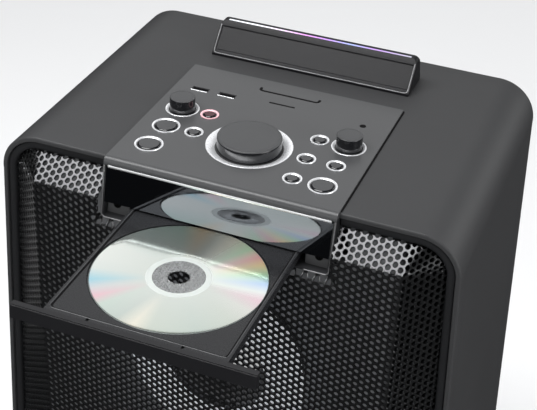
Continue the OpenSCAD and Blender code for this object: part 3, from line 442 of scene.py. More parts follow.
def turnOutwards(made):
    # Faces all wound so that their normals point out
    with editing(made.data) as work:
        bmesh.ops.recalc_face_normals(work, faces=work.faces)


def secondLook(made, first):
    # Polygons whose points all have at least the number first take the second material
    for polygon in made.data.polygons:
        if min(polygon.vertices) >= first:
            polygon.material_index = 1


def refill(mesh, key):
    # The given look alone, on every polygon
    mesh.materials.clear()
    mesh.materials.append(look[key])
    for polygon in mesh.polygons:
        polygon.material_index = 0


def bodyOf(nodeName):
    # The moving body that lists the node, or the cabinet
    for body, members in frame["record"]["behaviour"]["bodies"].items():
        if nodeName in members:
            return body
    return "cabinet"


# Angles in degrees: flatter than flat is dissolved, steeper than fold is rounded, steeper than sharp stays sharp
softening = {"weld": 1e-6, "flat": 0.6, "fold": 30, "sharp": 42, "segments": 2, "weight": 80}


def soften(nodeName, key, width, own=softening):
    # A copy of a CAD node whose sharp edges are rounded to width, in place of that node
    mesh = frame["nodes"][nodeName].data.copy()
    mesh.name = nodeName + "Soft"
    fold = radians(own["fold"])
    with editing(mesh) as work:
        bmesh.ops.remove_doubles(work, verts=work.verts, dist=own["weld"])
        bmesh.ops.dissolve_limit(work, angle_limit=radians(own["flat"]), verts=work.verts, edges=work.edges)
        edges = [e for e in work.edges if len(e.link_faces) == 2 and e.calc_face_angle(0) > fold]
        bmesh.ops.bevel(work, geom=edges, offset=width * mm, segments=own["segments"], profile=0.5,
                        affect="EDGES", clamp_overlap=True, harden_normals=False)
        bmesh.ops.triangulate(work, faces=[f for f in work.faces if len(f.verts) > 4])
    refill(mesh, key)
    mesh.shade_smooth()
    mesh.set_sharp_from_angle(angle=radians(own["sharp"]))
    made = addObject(nodeName + "Soft", mesh)
    weighted = made.modifiers.new("flatFaces", "WEIGHTED_NORMAL")
    weighted.keep_sharp = True
    weighted.weight = own["weight"]
    return assign(made, bodyOf(nodeName), [nodeName])


# Cabinet wrap and bezel, lofted along the flared outline
cabinet = {"cornerRadius": 32.0, "footCorner": 10.0, "leastCorner": 0.5, "wall": 4.0, "edgeRound": 1.6,
           "cornerSteps": 24, "sideSteps": 24, "frontLip": 9.0, "backLip": 12.0, "lipRound": 0.6, "lipFlat": 0.4}


def outline(d, own=cabinet):
    # Front outline drawn in by d, from the middle of the top clockwise, always with as many points: a corner is
    # its middle plus its radius less d times cosine and sine, and the sides run straight between the corners
    r = own["cornerRadius"] - d
    rf = max(own["footCorner"] - d, own["leastCorner"])
    cz = topZ - own["cornerRadius"]
    cx = sideX(cz) - own["cornerRadius"] * sideLen
    fz = footZ + d + rf
    fx = sideX(fz) - (d + rf) * sideLen
    tilt = atan(sideRun)
    n, sides = own["cornerSteps"], own["sideSteps"]
    upper = [(cx + r * cos(a), cz + r * sin(a)) for a in np.linspace(pi / 2, -tilt, n)]
    lower = [(fx + rf * cos(a), fz + rf * sin(a)) for a in np.linspace(-tilt, -pi / 2, n // 2)]
    top = [(x, topZ - d) for x in np.linspace(0, cx, sides)[:-1]]
    a, b = np.array(upper[-1]), np.array(lower[0])
    side = [tuple(a + (b - a) * t) for t in np.linspace(0, 1, sides * 2)[1:-1]]
    base = [(x, footZ + d) for x in np.linspace(fx, 0, sides)[1:]]
    right = top + upper + side + lower + base
    left = [(-x, z) for x, z in right[::-1]][1:-1]
    return np.array(right + left)


def loftRing(profile):
    # One row of points round the outline for each (inset, y) pair of the profile
    rows = []
    for inset, y in profile:
        flat = outline(inset)
        rows.append(xyz(flat[:, 0], y, flat[:, 1]))
    return np.array(rows)


def wrapPiece(own=cabinet):
    # From the front lip over the rounded front edge, along the depth and round the back edge to the back lip
    wall, e, backY = own["wall"], own["edgeRound"], wrapHigh[1]
    rounding, flat = own["lipRound"], own["lipFlat"]
    turn = [pi / 2 * t for t in (0, 0.25, 0.5, 0.75, 1)]
    profile = [(wall, frontY + own["frontLip"]), (wall, frontY + rounding), (wall - flat, frontY)]
    profile += [(e - e * sin(t), frontY + e - e * cos(t)) for t in turn]
    profile += [(0, frontY + (backY - frontY) * t) for t in (0.1, 0.3, 0.5, 0.7, 0.9)]
    profile += [(e - e * cos(t), backY - e + e * sin(t)) for t in turn]
    profile += [(wall - flat, backY), (wall, backY - rounding), (wall, backY - own["backLip"])]
    rows = loftRing(profile)
    makeMesh("wrapShell", rows.reshape(-1, 3), gridFaces(len(rows), rows.shape[1], False, True), "cabinet",
             "wrap", ["cabinet_wrap"], "wrap")


# The bezel and the sheet leave room for the player's module above a height that only their upper runs pass
bezel = {"width": 6.5, "moduleHalf": 88.5}
openAbove = 400


def bezelPiece(own=bezel):
    # One run from the module's right edge round the foot to its left edge, with closed ends
    y0, y1, wall, half = bezelLow[1], bezelHigh[1], cabinet["wall"], own["moduleHalf"]
    inner = wall + own["width"]
    profile = [(wall + 0.35, y1), (wall + 0.35, y0 + 1.1), (wall + 0.7, y0 + 0.4), (wall + 1.4, y0),
               (inner - 1.8, y0), (inner - 0.8, y0 + 0.4), (inner - 0.2, y0 + 1.2), (inner, y0 + 2.4), (inner, y1)]
    rows = loftRing(profile)
    rows = rows[:, ~((np.abs(rows[4, :, 0]) < half) & (rows[4, :, 2] > openAbove))]
    rows[:, 0, 0], rows[:, -1, 0] = half, -half
    count, n = rows.shape[:2]
    ends = [[i * n for i in range(count)][::-1], [i * n + n - 1 for i in range(count)]]
    makeMesh("bezelRun", rows.reshape(-1, 3), gridFaces(count, n, True) + ends, "cabinet", "bezel",
             ["front_bezel"], "dark_trim")


wrapPiece()
bezelPiece()
print("wrap and bezel done")

# Perforated sheet: one pattern of hexagonal cells, folded back on all sides to the bezel
sheet = {"pitch": 5.8, "squeeze": 0.876, "hole": 2.12, "lip": 0.2, "sides": 12, "wall": 2.0, "flatHalf": 139.5,
         "topDrop": 26.0, "footRise": 30.0, "inset": 11.1, "back": 3.2, "overrun": 1.04, "leastWay": 0.5,
         "notchHalf": 88.2, "notchGap": 0.8, "notchFold": 4.2, "notchSlope": 1.3, "steepest": 1.5,
         "columns": 46, "rowsDown": 98, "rowsUp": 10, "start": 0.25, "rim": 12.0,
         "bands": ("grilleFoot", "grilleLower", "grilleUpper", "grilleTop")}


def cell(own=sheet):
    # One cell: hexagon, lip and hole edge at the front, hole edge at the back, with their faces
    n = own["sides"]
    angle = np.arange(n) * 2 * pi / n
    corner = own["pitch"] / sqrt(3)
    reach = np.where(np.arange(n) % 2 == 0, corner, own["pitch"] / 2)
    unit = np.stack([np.cos(angle) * own["squeeze"], np.sin(angle)], -1)
    hole = own["hole"] * unit
    rings = [reach[:, None] * unit, (own["hole"] + own["lip"]) * unit, hole, hole]
    depth = np.repeat([0.0, 0.0, own["lip"], own["wall"]], n)
    k = np.arange(n)
    m = (k + 1) % n
    faces = np.concatenate([np.stack([r * n + n + k, r * n + n + m, r * n + m, r * n + k], -1)
                            for r in range(3)])
    return np.concatenate(rings), depth, faces


# Half width and heights of the flat front, where its folds end, and the module's notch
folds = {"half": sheet["flatHalf"], "high": topZ - sheet["topDrop"], "low": footZ + sheet["footRise"],
         "top": topZ - sheet["inset"], "foot": footZ + sheet["inset"], "front": sheetFront,
         "rise": frontY + sheet["back"] - sheetFront, "notch": frameLow[2] - sheet["notchGap"]}


def sheetDepth(x, z, own=sheet):
    # Share of the way from the flat front to the outline, times the rise; the notch's foot folds in as well
    ax = np.abs(x)
    beyond = np.maximum(np.maximum(z - folds["high"], folds["low"] - z), 0)
    inside = np.hypot(np.maximum(ax - folds["half"], 0), beyond)
    cz = topZ - cabinet["cornerRadius"]
    cx = sideX(cz) - cabinet["cornerRadius"] * sideLen
    r = cabinet["cornerRadius"] - own["inset"]
    outside = np.minimum(folds["top"] - z, (sideX(z) - ax) / sideLen - own["inset"])
    outside = np.minimum(outside, z - folds["foot"])
    corner = (ax > cx) & (z > cz)
    outside = np.where(corner, np.minimum(outside, r - np.hypot(ax - cx, z - cz)), outside)
    share = inside / np.maximum(inside + outside, own["leastWay"])
    y = folds["front"] + folds["rise"] * np.clip(share, 0, own["overrun"])
    near = np.clip((own["notchHalf"] + 5 - ax) / 4, 0, 1) * (z < folds["notch"] + 2)
    fold = near * np.clip(z - folds["notch"] + own["notchFold"], 0, 9) * own["notchSlope"]
    return y + fold, outside


def placeSheet(u, v, own=sheet):
    # Sheet coordinates to space: beyond the flat front, lengths are laid off along the slopes of the folds
    zMiddle = np.clip(v, folds["low"], folds["high"])
    run = sideX(zMiddle) - own["inset"] * sideLen - folds["half"]
    share = run / np.hypot(run, folds["rise"])
    x = np.sign(u) * (np.minimum(np.abs(u), folds["half"]) + share * np.maximum(np.abs(u) - folds["half"], 0))
    upRun, downRun = folds["top"] - folds["high"], folds["low"] - folds["foot"]
    z = zMiddle + upRun / hypot(upRun, folds["rise"]) * np.maximum(v - folds["high"], 0)
    z = z - downRun / hypot(downRun, folds["rise"]) * np.maximum(folds["low"] - v, 0)
    return x, z


def slopeOf(x, z, dx, dz, steepest):
    # Change of depth over a small step both ways, divided by the step and held to the steepest
    step = 0.2
    rise = sheetDepth(x + dx * step, z + dz * step)[0] - sheetDepth(x - dx * step, z - dz * step)[0]
    return np.clip(rise / (2 * step), -steepest, steepest)


def grillePieces(own=sheet):
    # Cells in staggered columns, kept where the outline allows; each point goes in along the surface's normal
    pitch, half = own["pitch"], own["notchHalf"]
    i, j = np.meshgrid(np.arange(-own["columns"], own["columns"] + 1),
                       np.arange(-own["rowsDown"], own["rowsUp"]))
    u = (i * (pitch * sqrt(3) / 2 * own["squeeze"])).ravel()
    v = (folds["high"] + (j + own["start"] + 0.5 * (i % 2)) * pitch).ravel()
    x, z = placeSheet(u, v)
    outside = sheetDepth(x, z)[1]
    keep = (outside > -1.5) & ~((np.abs(x) < half - 0.5) & (z > folds["notch"] - 0.5))
    u, v, x, z = u[keep], v[keep], x[keep], z[keep]
    flat, depth, faces = cell()
    px, pz = placeSheet(u[:, None] + flat[:, 0], v[:, None] + flat[:, 1])
    # What reaches into the notch is drawn back to its edge
    reaches = (np.abs(px) < half) & (pz > folds["notch"])
    beside = np.broadcast_to(np.abs(x)[:, None] >= half - 0.5, px.shape)
    px = np.where(reaches & beside, np.sign(px) * half, px)
    pz = np.where(reaches & ~beside, folds["notch"], pz)
    py = sheetDepth(px, pz)[0]
    slopeX = slopeOf(px, pz, 1, 0, own["steepest"])
    slopeZ = slopeOf(px, pz, 0, 1, own["steepest"])
    deep = np.broadcast_to(depth, px.shape) / np.sqrt(1 + slopeX ** 2 + slopeZ ** 2)
    points = xyz(px - slopeX * deep, py + deep, pz - slopeZ * deep)
    edges = np.quantile(z, np.linspace(0, 1, len(own["bands"]) + 1))
    edges[-1] += 1
    for k, name in enumerate(own["bands"]):
        some = (z >= edges[k]) & (z < edges[k + 1])
        starts = np.arange(int(some.sum())) * len(flat)
        quads = (faces[None] + starts[:, None, None]).reshape(-1, 4)
        quickMesh(name, points[some].reshape(-1, 3), quads, "grille", ["grille"] if k == 0 else ())


def rimPiece(own=sheet):
    # Plain edge of the sheet: from its last holes straight back behind the bezel, open at the notch
    flat = outline(own["inset"] - 0.4)
    keep = ~((np.abs(flat[:, 0]) < own["notchHalf"]) & (flat[:, 1] > openAbove))
    order = np.roll(np.arange(len(flat)), -int(np.argmax(~keep)))
    flat = flat[[k for k in order if keep[k]]]
    y = np.maximum(sheetDepth(flat[:, 0], flat[:, 1])[0], frontY)
    rows = [xyz(flat[:, 0], y + d, flat[:, 1]) for d in (0.0, own["rim"] / 2, own["rim"])]
    quads = gridFaces(len(rows), len(flat), flip=True)
    quickMesh("grilleRim", np.array(rows).reshape(-1, 3), quads, "grille", (), False)


grillePieces()
rimPiece()
print("grille done")

# Light diffusers of the woofers: a collar on the light ring's seat that widens to a flat ring near the sheet
halo = {"inner": 40.0, "outer": 72.0, "front": -50.0, "wall": 1.4, "seat": 7.0, "sides": 96}


def haloPiece(nodeName, pieceName, own=halo):
    # The ring's section turned round the woofer's axis, which runs along y: radius times cosine and sine
    low, high = span(nodeName)
    z, r1, back, sides = (low[2] + high[2]) / 2, (high[0] - low[0]) / 2, high[1], own["sides"]
    r0 = r1 - own["seat"]
    y, a, b, w = own["front"], own["inner"], own["outer"], own["wall"]
    section = [(a, y + 0.5), (a + 1, y), ((a + b) / 2, y - 0.8), (b - 1, y), (b, y + 0.5), (b - 0.4, y + w),
               (r1 + 2, y + w + 0.4), (r1, back - 2), (r1, back), (r0 + 1, back), (r0 + 1, y + w + 1),
               (a + 0.4, y + w)]
    radius, depth = np.array(section).T[:, :, None]
    c, s = circle(sides)
    points = xyz(radius * c, depth, z + radius * s).reshape(-1, 3)
    quads = gridFaces(len(section), sides, True, True, True)
    turnOutwards(quickMesh(pieceName, points, quads, "halo", [nodeName]))


haloPiece("upper_light_ring", "upperHalo")
haloPiece("lower_light_ring", "lowerHalo")
print("light diffusers done")

# CAD nodes whose edges are rounded: look, width of the rounding and slot
softened = {"control_panel": ("panel", 0.5, "panel"), "module_frame": ("frame", 0.35, "dark_trim"),
            "tray": ("tray", 0.3, "tray"), "tray_door": ("door", 0.35, "dark_trim"),
            "tablet_rest": ("rest", 0.7, "dark_trim")}
for nodeName, (key, width, slotName) in softened.items():
    soften(nodeName, key, width)
print("softened")

# CAD nodes that stay as they are, by look
painted = {
    "gloss": ["window"], "chrome": ["chrome_strip"], "screw": ["frame_screws", "rear_screws", "foot_screws"],
    "rear": ["rear_panel", "bass_port", "mains_inlet"], "rubber": ["feet"], "cloth": ["baffle"],
    "circuit": ["power_supply", "amplifier_board", "switch_board"],
    "basket": ["upper_woofer_basket", "lower_woofer_basket"], "cone": ["upper_woofer_cone", "lower_woofer_cone"],
    "restGlow": ["rest_light"], "steel": ["potentiometers", "loader_motor", "sled_rails", "clamp_bridge"],
    "socket": ["media_sockets"], "lens": ["status_lens"],
    "frame": ["loader_chassis", "pickup_deck", "turntable", "pickup_sled", "clamp_puck"],
    "acetal": ["drive_gear", "motor_pinion"],
}
for key, names in painted.items():
    for name in names:
        refill(frame["nodes"][name].data, key)

# Knobs with smooth sides and a satin top, each in a ring that slopes down to it
small = {"dish": 0.8, "ring": 3.2, "gap": 0.7, "edge": 0.8}
knobs = {"volume_knob": {"name": "volumeKnob", "dish": 2.2, "ring": 8.0, "gap": 0.7, "edge": 1.4},
         "left_knob": {"name": "leftKnob", **small},
         "right_knob": {"name": "rightKnob", **small}}
buttonRings = {"gap": 0.35, "width": 2.1, "height": 0.7, "raised": 1.0, "dish": 0.25, "knobHeight": 0.45}
knobSides = 128
redButton = 4


def knobPiece(nodeName, own):
    # Straight side with a small foot, a quarter round crown and a top that is sunk by 0.3
    x, y, r, top = roundNode(nodeName)
    base = panelZ - own["dish"] + 0.4
    c, wall = own["edge"], r - 0.15
    side = [(0.0, base), (r - 0.6, base), (wall, base + 0.4), (r, base + 1.0), (wall, top - c - 0.2)]
    crown = [(wall - c + c * cos(a), top - c + c * sin(a)) for a in np.linspace(0.1, pi / 2, 6)]
    face = [(r - c - 0.8, top), (r - c - 1.1, top - 0.2), (r - c - 1.6, top - 0.25), (r * 0.3, top - 0.3),
            (0.0, top - 0.3)]
    points, faces = lathe(side + crown + face, x, y, knobSides)
    made = makeMesh(own["name"], points, faces, nodeName, ["knobSide", "knobTop"], [nodeName],
                    "knob", 40)
    secondLook(made, knobSides * (len(side) + 1))


def ringSection(inner, outer, dish, height):
    # Outer edge, rounded crest and slope down to the inner edge
    crest = outer - 0.22 * min(outer - inner, 3.0)
    return [(outer, panelZ - 0.05), (outer, panelZ + height * 0.5), (crest + 0.25, panelZ + height * 0.94),
            (crest, panelZ + height), (crest - 0.3, panelZ + height * 0.95),
            (inner + 0.15, panelZ - dish + 0.06), (inner, panelZ - dish - 0.1)]


def ringPieces(own=buttonRings):
    # One piece for the grey rings, and the red button's ring by itself
    parts = []
    for nodeName, knob in knobs.items():
        x, y, r, _ = roundNode(nodeName)
        section = ringSection(r + knob["gap"], r + knob["ring"], knob["dish"], own["knobHeight"])
        parts.append(lathe(section, x, y, knobSides))
    for k in range(1, 10):
        x, y, r, _ = roundNode("button_%d" % k)
        inner = r - own["raised"] + own["gap"]
        ring = lathe(ringSection(inner, inner + own["width"], own["dish"], own["height"]), x, y)
        if k == redButton:
            makeMesh("redRing", *ring, "cabinet", "redRing", (), "chrome", 35)
        else:
            parts.append(ring)
    makeMesh("controlRings", *join(parts), "cabinet", "ring", ["control_rings"], "chrome", 35)


# Cap of a button: how far the CAD button's foot stands out, the chamfer, and the foot's depth under the panel
buttonShape = {"raised": 1.0, "chamfer": 1.0, "sunk": 0.15, "sides": 64}


def buttonPiece(k, own=buttonShape):
    # Black side and chamfer, then a satin top that is hollow by 0.18
    nodeName = "button_%d" % k
    x, y, r, top = roundNode(nodeName)
    r, c, foot, sides = r - own["raised"], own["chamfer"], panelZ - own["sunk"], own["sides"]
    side = [(0.0, foot), (r - 0.1, foot), (r, panelZ), (r, top - 0.7), (r - 0.2, top - 0.4), (r - c, top - 0.02)]
    face = [(r - c - 0.1, top), (r - c - 0.4, top), (r * 0.5, top - 0.12), (0.0, top - 0.18)]
    points, faces = lathe(side + face, x, y, sides)
    topLook, slotName = ("redButton", "red_button") if k == redButton else ("buttonTop", "button")
    made = makeMesh("buttonCap%d" % k, points, faces, nodeName, ["knobSide", topLook], [nodeName], slotName, 40)
    secondLook(made, sides * (len(side) - 1) + 1)


for nodeName, own in knobs.items():
    knobPiece(nodeName, own)
ringPieces()
for k in range(1, 10):
    buttonPiece(k)


def bar(path, radius, sides=10, flatten=1.0):
    # A closed round bar of millimetre radius along a path: sections square to it, capped at both ends
    ahead = unit(np.gradient(path, axis=0))
    spare = np.where(np.abs(ahead[:, [1]]) > 0.8, [[1.0, 0, 0]], [[0, 1.0, 0]])
    one = unit(np.cross(ahead, spare))
    two = np.cross(ahead, one)
    c, s = (part[None, :, None] for part in circle(sides))
    points = path[:, None] + radius * (c * one[:, None] * flatten + s * two[:, None])
    end = len(path) * sides
    caps = [list(range(sides)), list(range(end - 1, end - sides - 1, -1))]
    return points.reshape(-1, 3), gridFaces(len(path), sides, False, True, True) + caps


def barPiece(name, parts, key, replaced=(), slotName=None, body="cabinet"):
    # Several closed parts as one piece, wound outwards
    made = makeMesh(name, *join(parts), body, key, replaced, slotName)
    turnOutwards(made)
    made.data.set_sharp_from_angle(angle=radians(50))


# Trim of the player's front: bright bead under the roll, thin rim with rounded foot corners, screw plates
trim = {"bead": 1.4, "rim": 0.55, "rimTop": 1.5, "footEnd": 69.0, "corner": 3.2, "plate": 0.35, "screwHole": 2.7,
        "plateDepth": 6.4, "plateAcross": (67.6, 85.0), "plateHeights": (517.2, 528.0), "sides": 40,
        "lean": 10.0, "ahead": 0.4}


def frontAt(z, own=trim):
    # Depth of the player's front at height z: back by the tangent of its lean from the window's foot
    return windowLow[1] - own["ahead"] + tan(radians(own["lean"])) * (z - windowLow[2])


def frontTrim(own=trim):
    # Bead along the bright strip; rim down each side of the frame, round its corner and inwards along its foot
    low, high = span("chrome_strip")
    path = xyz(np.linspace(low[0], high[0], 40), low[1] + own["bead"] - 0.15, (low[2] + high[2]) / 2 - 0.1)
    barPiece("chromeBead", [bar(path, own["bead"], 16)], "bead", ["chrome_strip"], "chrome")
    screwLow, screwHigh = span("frame_screws")
    screw = (screwHigh[0] - 3.0, (screwLow[2] + screwHigh[2]) / 2)
    foot, half, c = frameLow[2] + own["rim"], frameHigh[0] - own["rim"], own["corner"]
    down = np.linspace(windowHigh[2] + own["rimTop"], foot + c, 12)
    turn = np.linspace(0, pi / 2, 10)[1:]
    x = np.concatenate([np.full(12, half), half - c + c * np.cos(turn),
                        np.linspace(half - c - 1, own["footEnd"], 6)])
    height = np.concatenate([down, foot + c - c * np.sin(turn), np.full(6, foot)])
    paths = [xyz(side * x, frontAt(height) - 0.1, height) for side in (-1, 1)]
    barPiece("moduleRim", [bar(path, own["rim"]) for path in paths], "rimLine", (), "dark_trim")
    barPiece("screwPlates", [screwPlate(side, screw) for side in (-1, 1)], "plate", (), "dark_trim")


def screwPlate(side, middle, own=trim):
    # Rectangle round the screw's hole: at each angle the edge is as far as the nearer of its two straight lines
    sides = own["sides"]
    dx, dz = circle(sides)
    (inner, outer), (foot, top) = own["plateAcross"], own["plateHeights"]
    across = np.where(dx > 0, outer - middle[0], middle[0] - inner) / np.maximum(np.abs(dx), 1e-6)
    along = np.where(dz > 0, top - middle[1], middle[1] - foot) / np.maximum(np.abs(dz), 1e-6)
    reach, hole = np.minimum(across, along), np.full(sides, own["screwHole"])
    rows = []
    for radius, lift in ((reach, 0.0), (reach, own["plate"]), (hole, own["plate"]), (hole, 0.0)):
        x, z = middle[0] + radius * dx, middle[1] + radius * dz
        rows.append(xyz(side * x, frontAt(z) + own["plateDepth"] - lift, z))
    return np.array(rows).reshape(-1, 3), gridFaces(len(rows), sides, True, True, True)


frontTrim()

# Black inlay of the flap's groove and the slit, bright lips of the media sockets, and a dark strip of painted shade
# round the panel
inlay = {"groove": 1.45, "slit": 1.1, "flatten": 0.5, "proud": 0.3, "flapAhead": 21.1, "flapHalf": 24.2,
         "flapCorner": 2.7, "flapFoot": 0.8, "flapTop": 5.3, "slitAhead": 6.6, "slitHalf": 10.2,
         "lip": 0.4, "lipHalf": 6.8, "socketMiddle": 6.7, "edgeShade": 0.75, "beside": 0.25}


def panelInlays(own=inlay):
    # Each line's middle lies under the panel's face by its half height, less how far it stands proud
    socketLow, socketHigh = span("media_sockets")
    y0, half, c = socketLow[1] + own["flapAhead"], own["flapHalf"], own["flapCorner"]
    turn = np.linspace(0, pi / 2, 8)
    arc = np.stack([-half + c - c * np.cos(turn), y0 + own["flapFoot"] + c - c * np.sin(turn)], -1)
    left = np.concatenate([[[-half, y0 + own["flapTop"]]], arc])
    flat = np.concatenate([left, left[::-1] * [-1, 1]])
    thin, proud = own["flatten"], own["proud"]
    path = xyz(*flat.T, panelZ - own["groove"] * thin + proud)
    slit = xyz(np.linspace(-own["slitHalf"], own["slitHalf"], 6), socketLow[1] + own["slitAhead"],
               panelZ - own["slit"] * thin + proud)
    barPiece("panelGrooves", [bar(path, own["groove"], 12, thin), bar(slit, own["slit"], 12, thin)],
             "lens", (), "window")
    lips = []
    for x in (socketLow[0] + own["socketMiddle"], socketHigh[0] - own["socketMiddle"]):
        along = x + np.linspace(-own["lipHalf"], own["lipHalf"], 8)
        lips.append(bar(xyz(along, socketLow[1] - own["beside"], panelZ + 0.1), own["lip"], 8))
    barPiece("socketLips", lips, "ring", (), "chrome")
    # Dark strip of painted shade in the corner between the panel's edge and the top, round the sides and the back
    x, back, front = panelHigh[0] + own["beside"], panelHigh[1] + own["beside"], frontY + 2.0
    corners = [(-x, front), (-x, back - 0.6), (-x + 0.6, back), (x - 0.6, back), (x, back - 0.6), (x, front)]
    path = np.concatenate([np.linspace(corners[k], corners[k + 1], 12 if k % 2 == 0 else 3)[:-1]
                           for k in range(5)] + [np.array(corners[-1:])])
    barPiece("panelEdgeShade", [bar(xyz(*path.T, topZ + 0.25), own["edgeShade"])], "lens", (), "dark_trim")


panelInlays()
print("controls done")

# Pale border of the tablet rest's face, and the double rim of the tray
edging = {"restBead": 0.55, "restIn": 1.3, "restFoot": 2.4, "restTop": 3.2, "restRun": 18.0, "trayDark": 0.5,
          "trayLight": 0.4, "trayIn": 2.9, "trayOut": 1.1, "frontIn": 4.5, "step": 0.8, "flatten": 0.6}


def roundPath(corners, cut=3.0, steps=6):
    # Straight runs joined by arcs: each corner is replaced by a quadratic curve between points cut away from it
    corners = np.asarray(corners, float)
    rows = [corners[:1]]
    for k in range(1, len(corners) - 1):
        back, ahead = corners[k - 1] - corners[k], corners[k + 1] - corners[k]
        a, b = corners[k] + unit(back) * cut, corners[k] + unit(ahead) * cut
        t = np.linspace(0, 1, steps)[:, None]
        rows.append((1 - t) ** 2 * a + 2 * t * (1 - t) * corners[k] + t ** 2 * b)
    return np.concatenate(rows + [corners[-1:]])


def restAt(z, own=edging):
    # Depth of the rest's face at height z: its whole run times the share of its height, just ahead of it
    return restLow[1] + own["restRun"] * (z - topZ - 2) / (restHigh[2] - topZ - 4) - 0.1


def edgePieces(own=edging):
    # Border down one side of the rest, along its foot and up; lines round the tray's rim, the pale one outside
    x, foot, top = restHigh[0] - own["restIn"], topZ + own["restFoot"], restHigh[2] - own["restTop"]
    path = roundPath([(-x, restAt(top), top), (-x, restAt(foot), foot), (x, restAt(foot), foot),
                      (x, restAt(top), top)])
    barPiece("restBorder", [bar(path, own["restBead"], 8)], "rimLine", (), "dark_trim")
    trayLow, trayHigh = span("tray")
    side, front, back = trayHigh[0] - own["trayIn"], trayLow[1] + own["frontIn"], frontY - 6
    for name, radius, out, drop, key in (("trayGroove", own["trayDark"], 0.0, own["step"], "lens"),
                                         ("trayRim", own["trayLight"], own["trayOut"], 0.1, "trayRim")):
        x, y = side + out, front - out
        path = roundPath([(-x, back, 0), (-x, y, 0), (x, y, 0), (x, back, 0)], 4.0)
        path[:, 2] = trayHigh[2] - drop
        barPiece(name, [bar(path, radius, 10, own["flatten"])], key, (), "tray", "tray")


edgePieces()
print("edging done")

# Disc: clear hub, stacking ring and a mirrored face with painted rainbow highlights and a painted reflection
disc = {"hole": 7.5, "hub": 17.5, "frosted": 18.0, "clear": 22.5, "edge": 60.0, "dullEdge": 0.6,
        "mirror": 0.86, "flare": 0.6, "silver": (0.66, 0.70, 0.66, 1), "groove": (0.55, 0.6, 0.6, 1)}
# Colours by the share of a turn, from the side of the disc that faces left, against the clock: the rainbow streaks
# are painted highlights and the darker teal stretch towards the back is a painted reflection
paintedDiscLight = [
    (0.0, (0.76, 0.79, 0.75)), (0.04, (0.70, 0.75, 0.72)), (0.075, (0.36, 0.64, 0.74)),
    (0.1, (0.66, 0.66, 0.68)), (0.125, (0.80, 0.52, 0.58)), (0.15, (0.58, 0.67, 0.61)),
    (0.2, (0.54, 0.60, 0.56)), (0.235, (0.84, 0.80, 0.68)), (0.265, (0.60, 0.65, 0.58)),
    (0.35, (0.54, 0.61, 0.56)), (0.42, (0.60, 0.64, 0.58)), (0.46, (0.70, 0.70, 0.66)),
    (0.495, (0.78, 0.58, 0.64)), (0.52, (0.68, 0.72, 0.70)), (0.545, (0.42, 0.56, 0.78)),
    (0.575, (0.46, 0.72, 0.46)), (0.605, (0.84, 0.66, 0.34)), (0.63, (0.82, 0.42, 0.42)),
    (0.66, (0.48, 0.70, 0.46)), (0.7, (0.74, 0.72, 0.60)), (0.735, (0.72, 0.76, 0.68)),
    (0.77, (0.74, 0.60, 0.40)), (0.81, (0.46, 0.62, 0.54)), (0.88, (0.58, 0.70, 0.66)),
    (0.95, (0.76, 0.79, 0.75)), (1.0, (0.76, 0.79, 0.75))]


def discMaterial(x, y, own=disc):
    # Streaks of painted light: colour by the angle from the disc's middle, silver near the middle, faint rings by
    # the radius
    material, tree, shader = newMaterial("discFace")
    moved = node(tree, "VectorMath", {0: coords(tree), 1: (-x * mm, -y * mm, 0)}, operation="ADD").outputs[0]
    across, along, _ = node(tree, "SeparateXYZ", {0: moved}).outputs
    angle = mathNode("DIVIDE", mathNode("ARCTAN2", along, across), 2 * pi)
    turn = mathNode("ADD", angle, 0.5)
    radius = distance(across, along)
    # This ramp paints the disc's rainbow highlights and its reflection into the face's colour
    paintedStreaks = ramp(turn, paintedDiscLight)
    colour = mix(remap(radius, 0.02, 0.06), own["silver"], paintedStreaks)
    rings = node(tree, "TexWave", {"Vector": node(tree, "CombineXYZ", {0: radius}).outputs[0], "Scale": 900.0,
                                   "Distortion": 0.0})
    colour = mix(mathNode("MULTIPLY", rings.outputs["Fac"], 0.06), colour, own["groove"])
    # Towards the back right the streaks scatter light, so there the face mirrors less
    mirror, flare = (own["mirror"],) * 3, (own["flare"],) * 3
    metallic = ramp(turn, [(0.49, mirror), (0.52, flare), (0.64, flare), (0.74, mirror)])
    feed(shader, {"Base Color": colour, "Metallic": metallic, "Roughness": 0.09})
    return material


def clearMaterial(name, colour, rough=0.05):
    # Clear plastic with darker dots, 0.3 to 0.8 of its colour, and a gloss that follows slow haze
    material, tree, shader = newMaterial(name)
    place = coords(tree)
    haze = node(tree, "TexNoise", {"Vector": place, "Scale": 300.0, "Detail": 2.0})
    dots = node(tree, "TexVoronoi", {"Vector": place, "Scale": 400.0, "Randomness": 0.2})
    dark, pale = ((*[c * share for c in colour], 1) for share in (0.3, 0.8))
    feed(shader, {"Base Color": mix(remap(dots.outputs["Distance"], 0.2, 0.42), dark, pale),
                  "Roughness": remap(haze.outputs["Fac"], 0.0, 1.0, rough, rough + 0.05),
                  "Transmission Weight": 0.8, "IOR": 1.1})
    return material


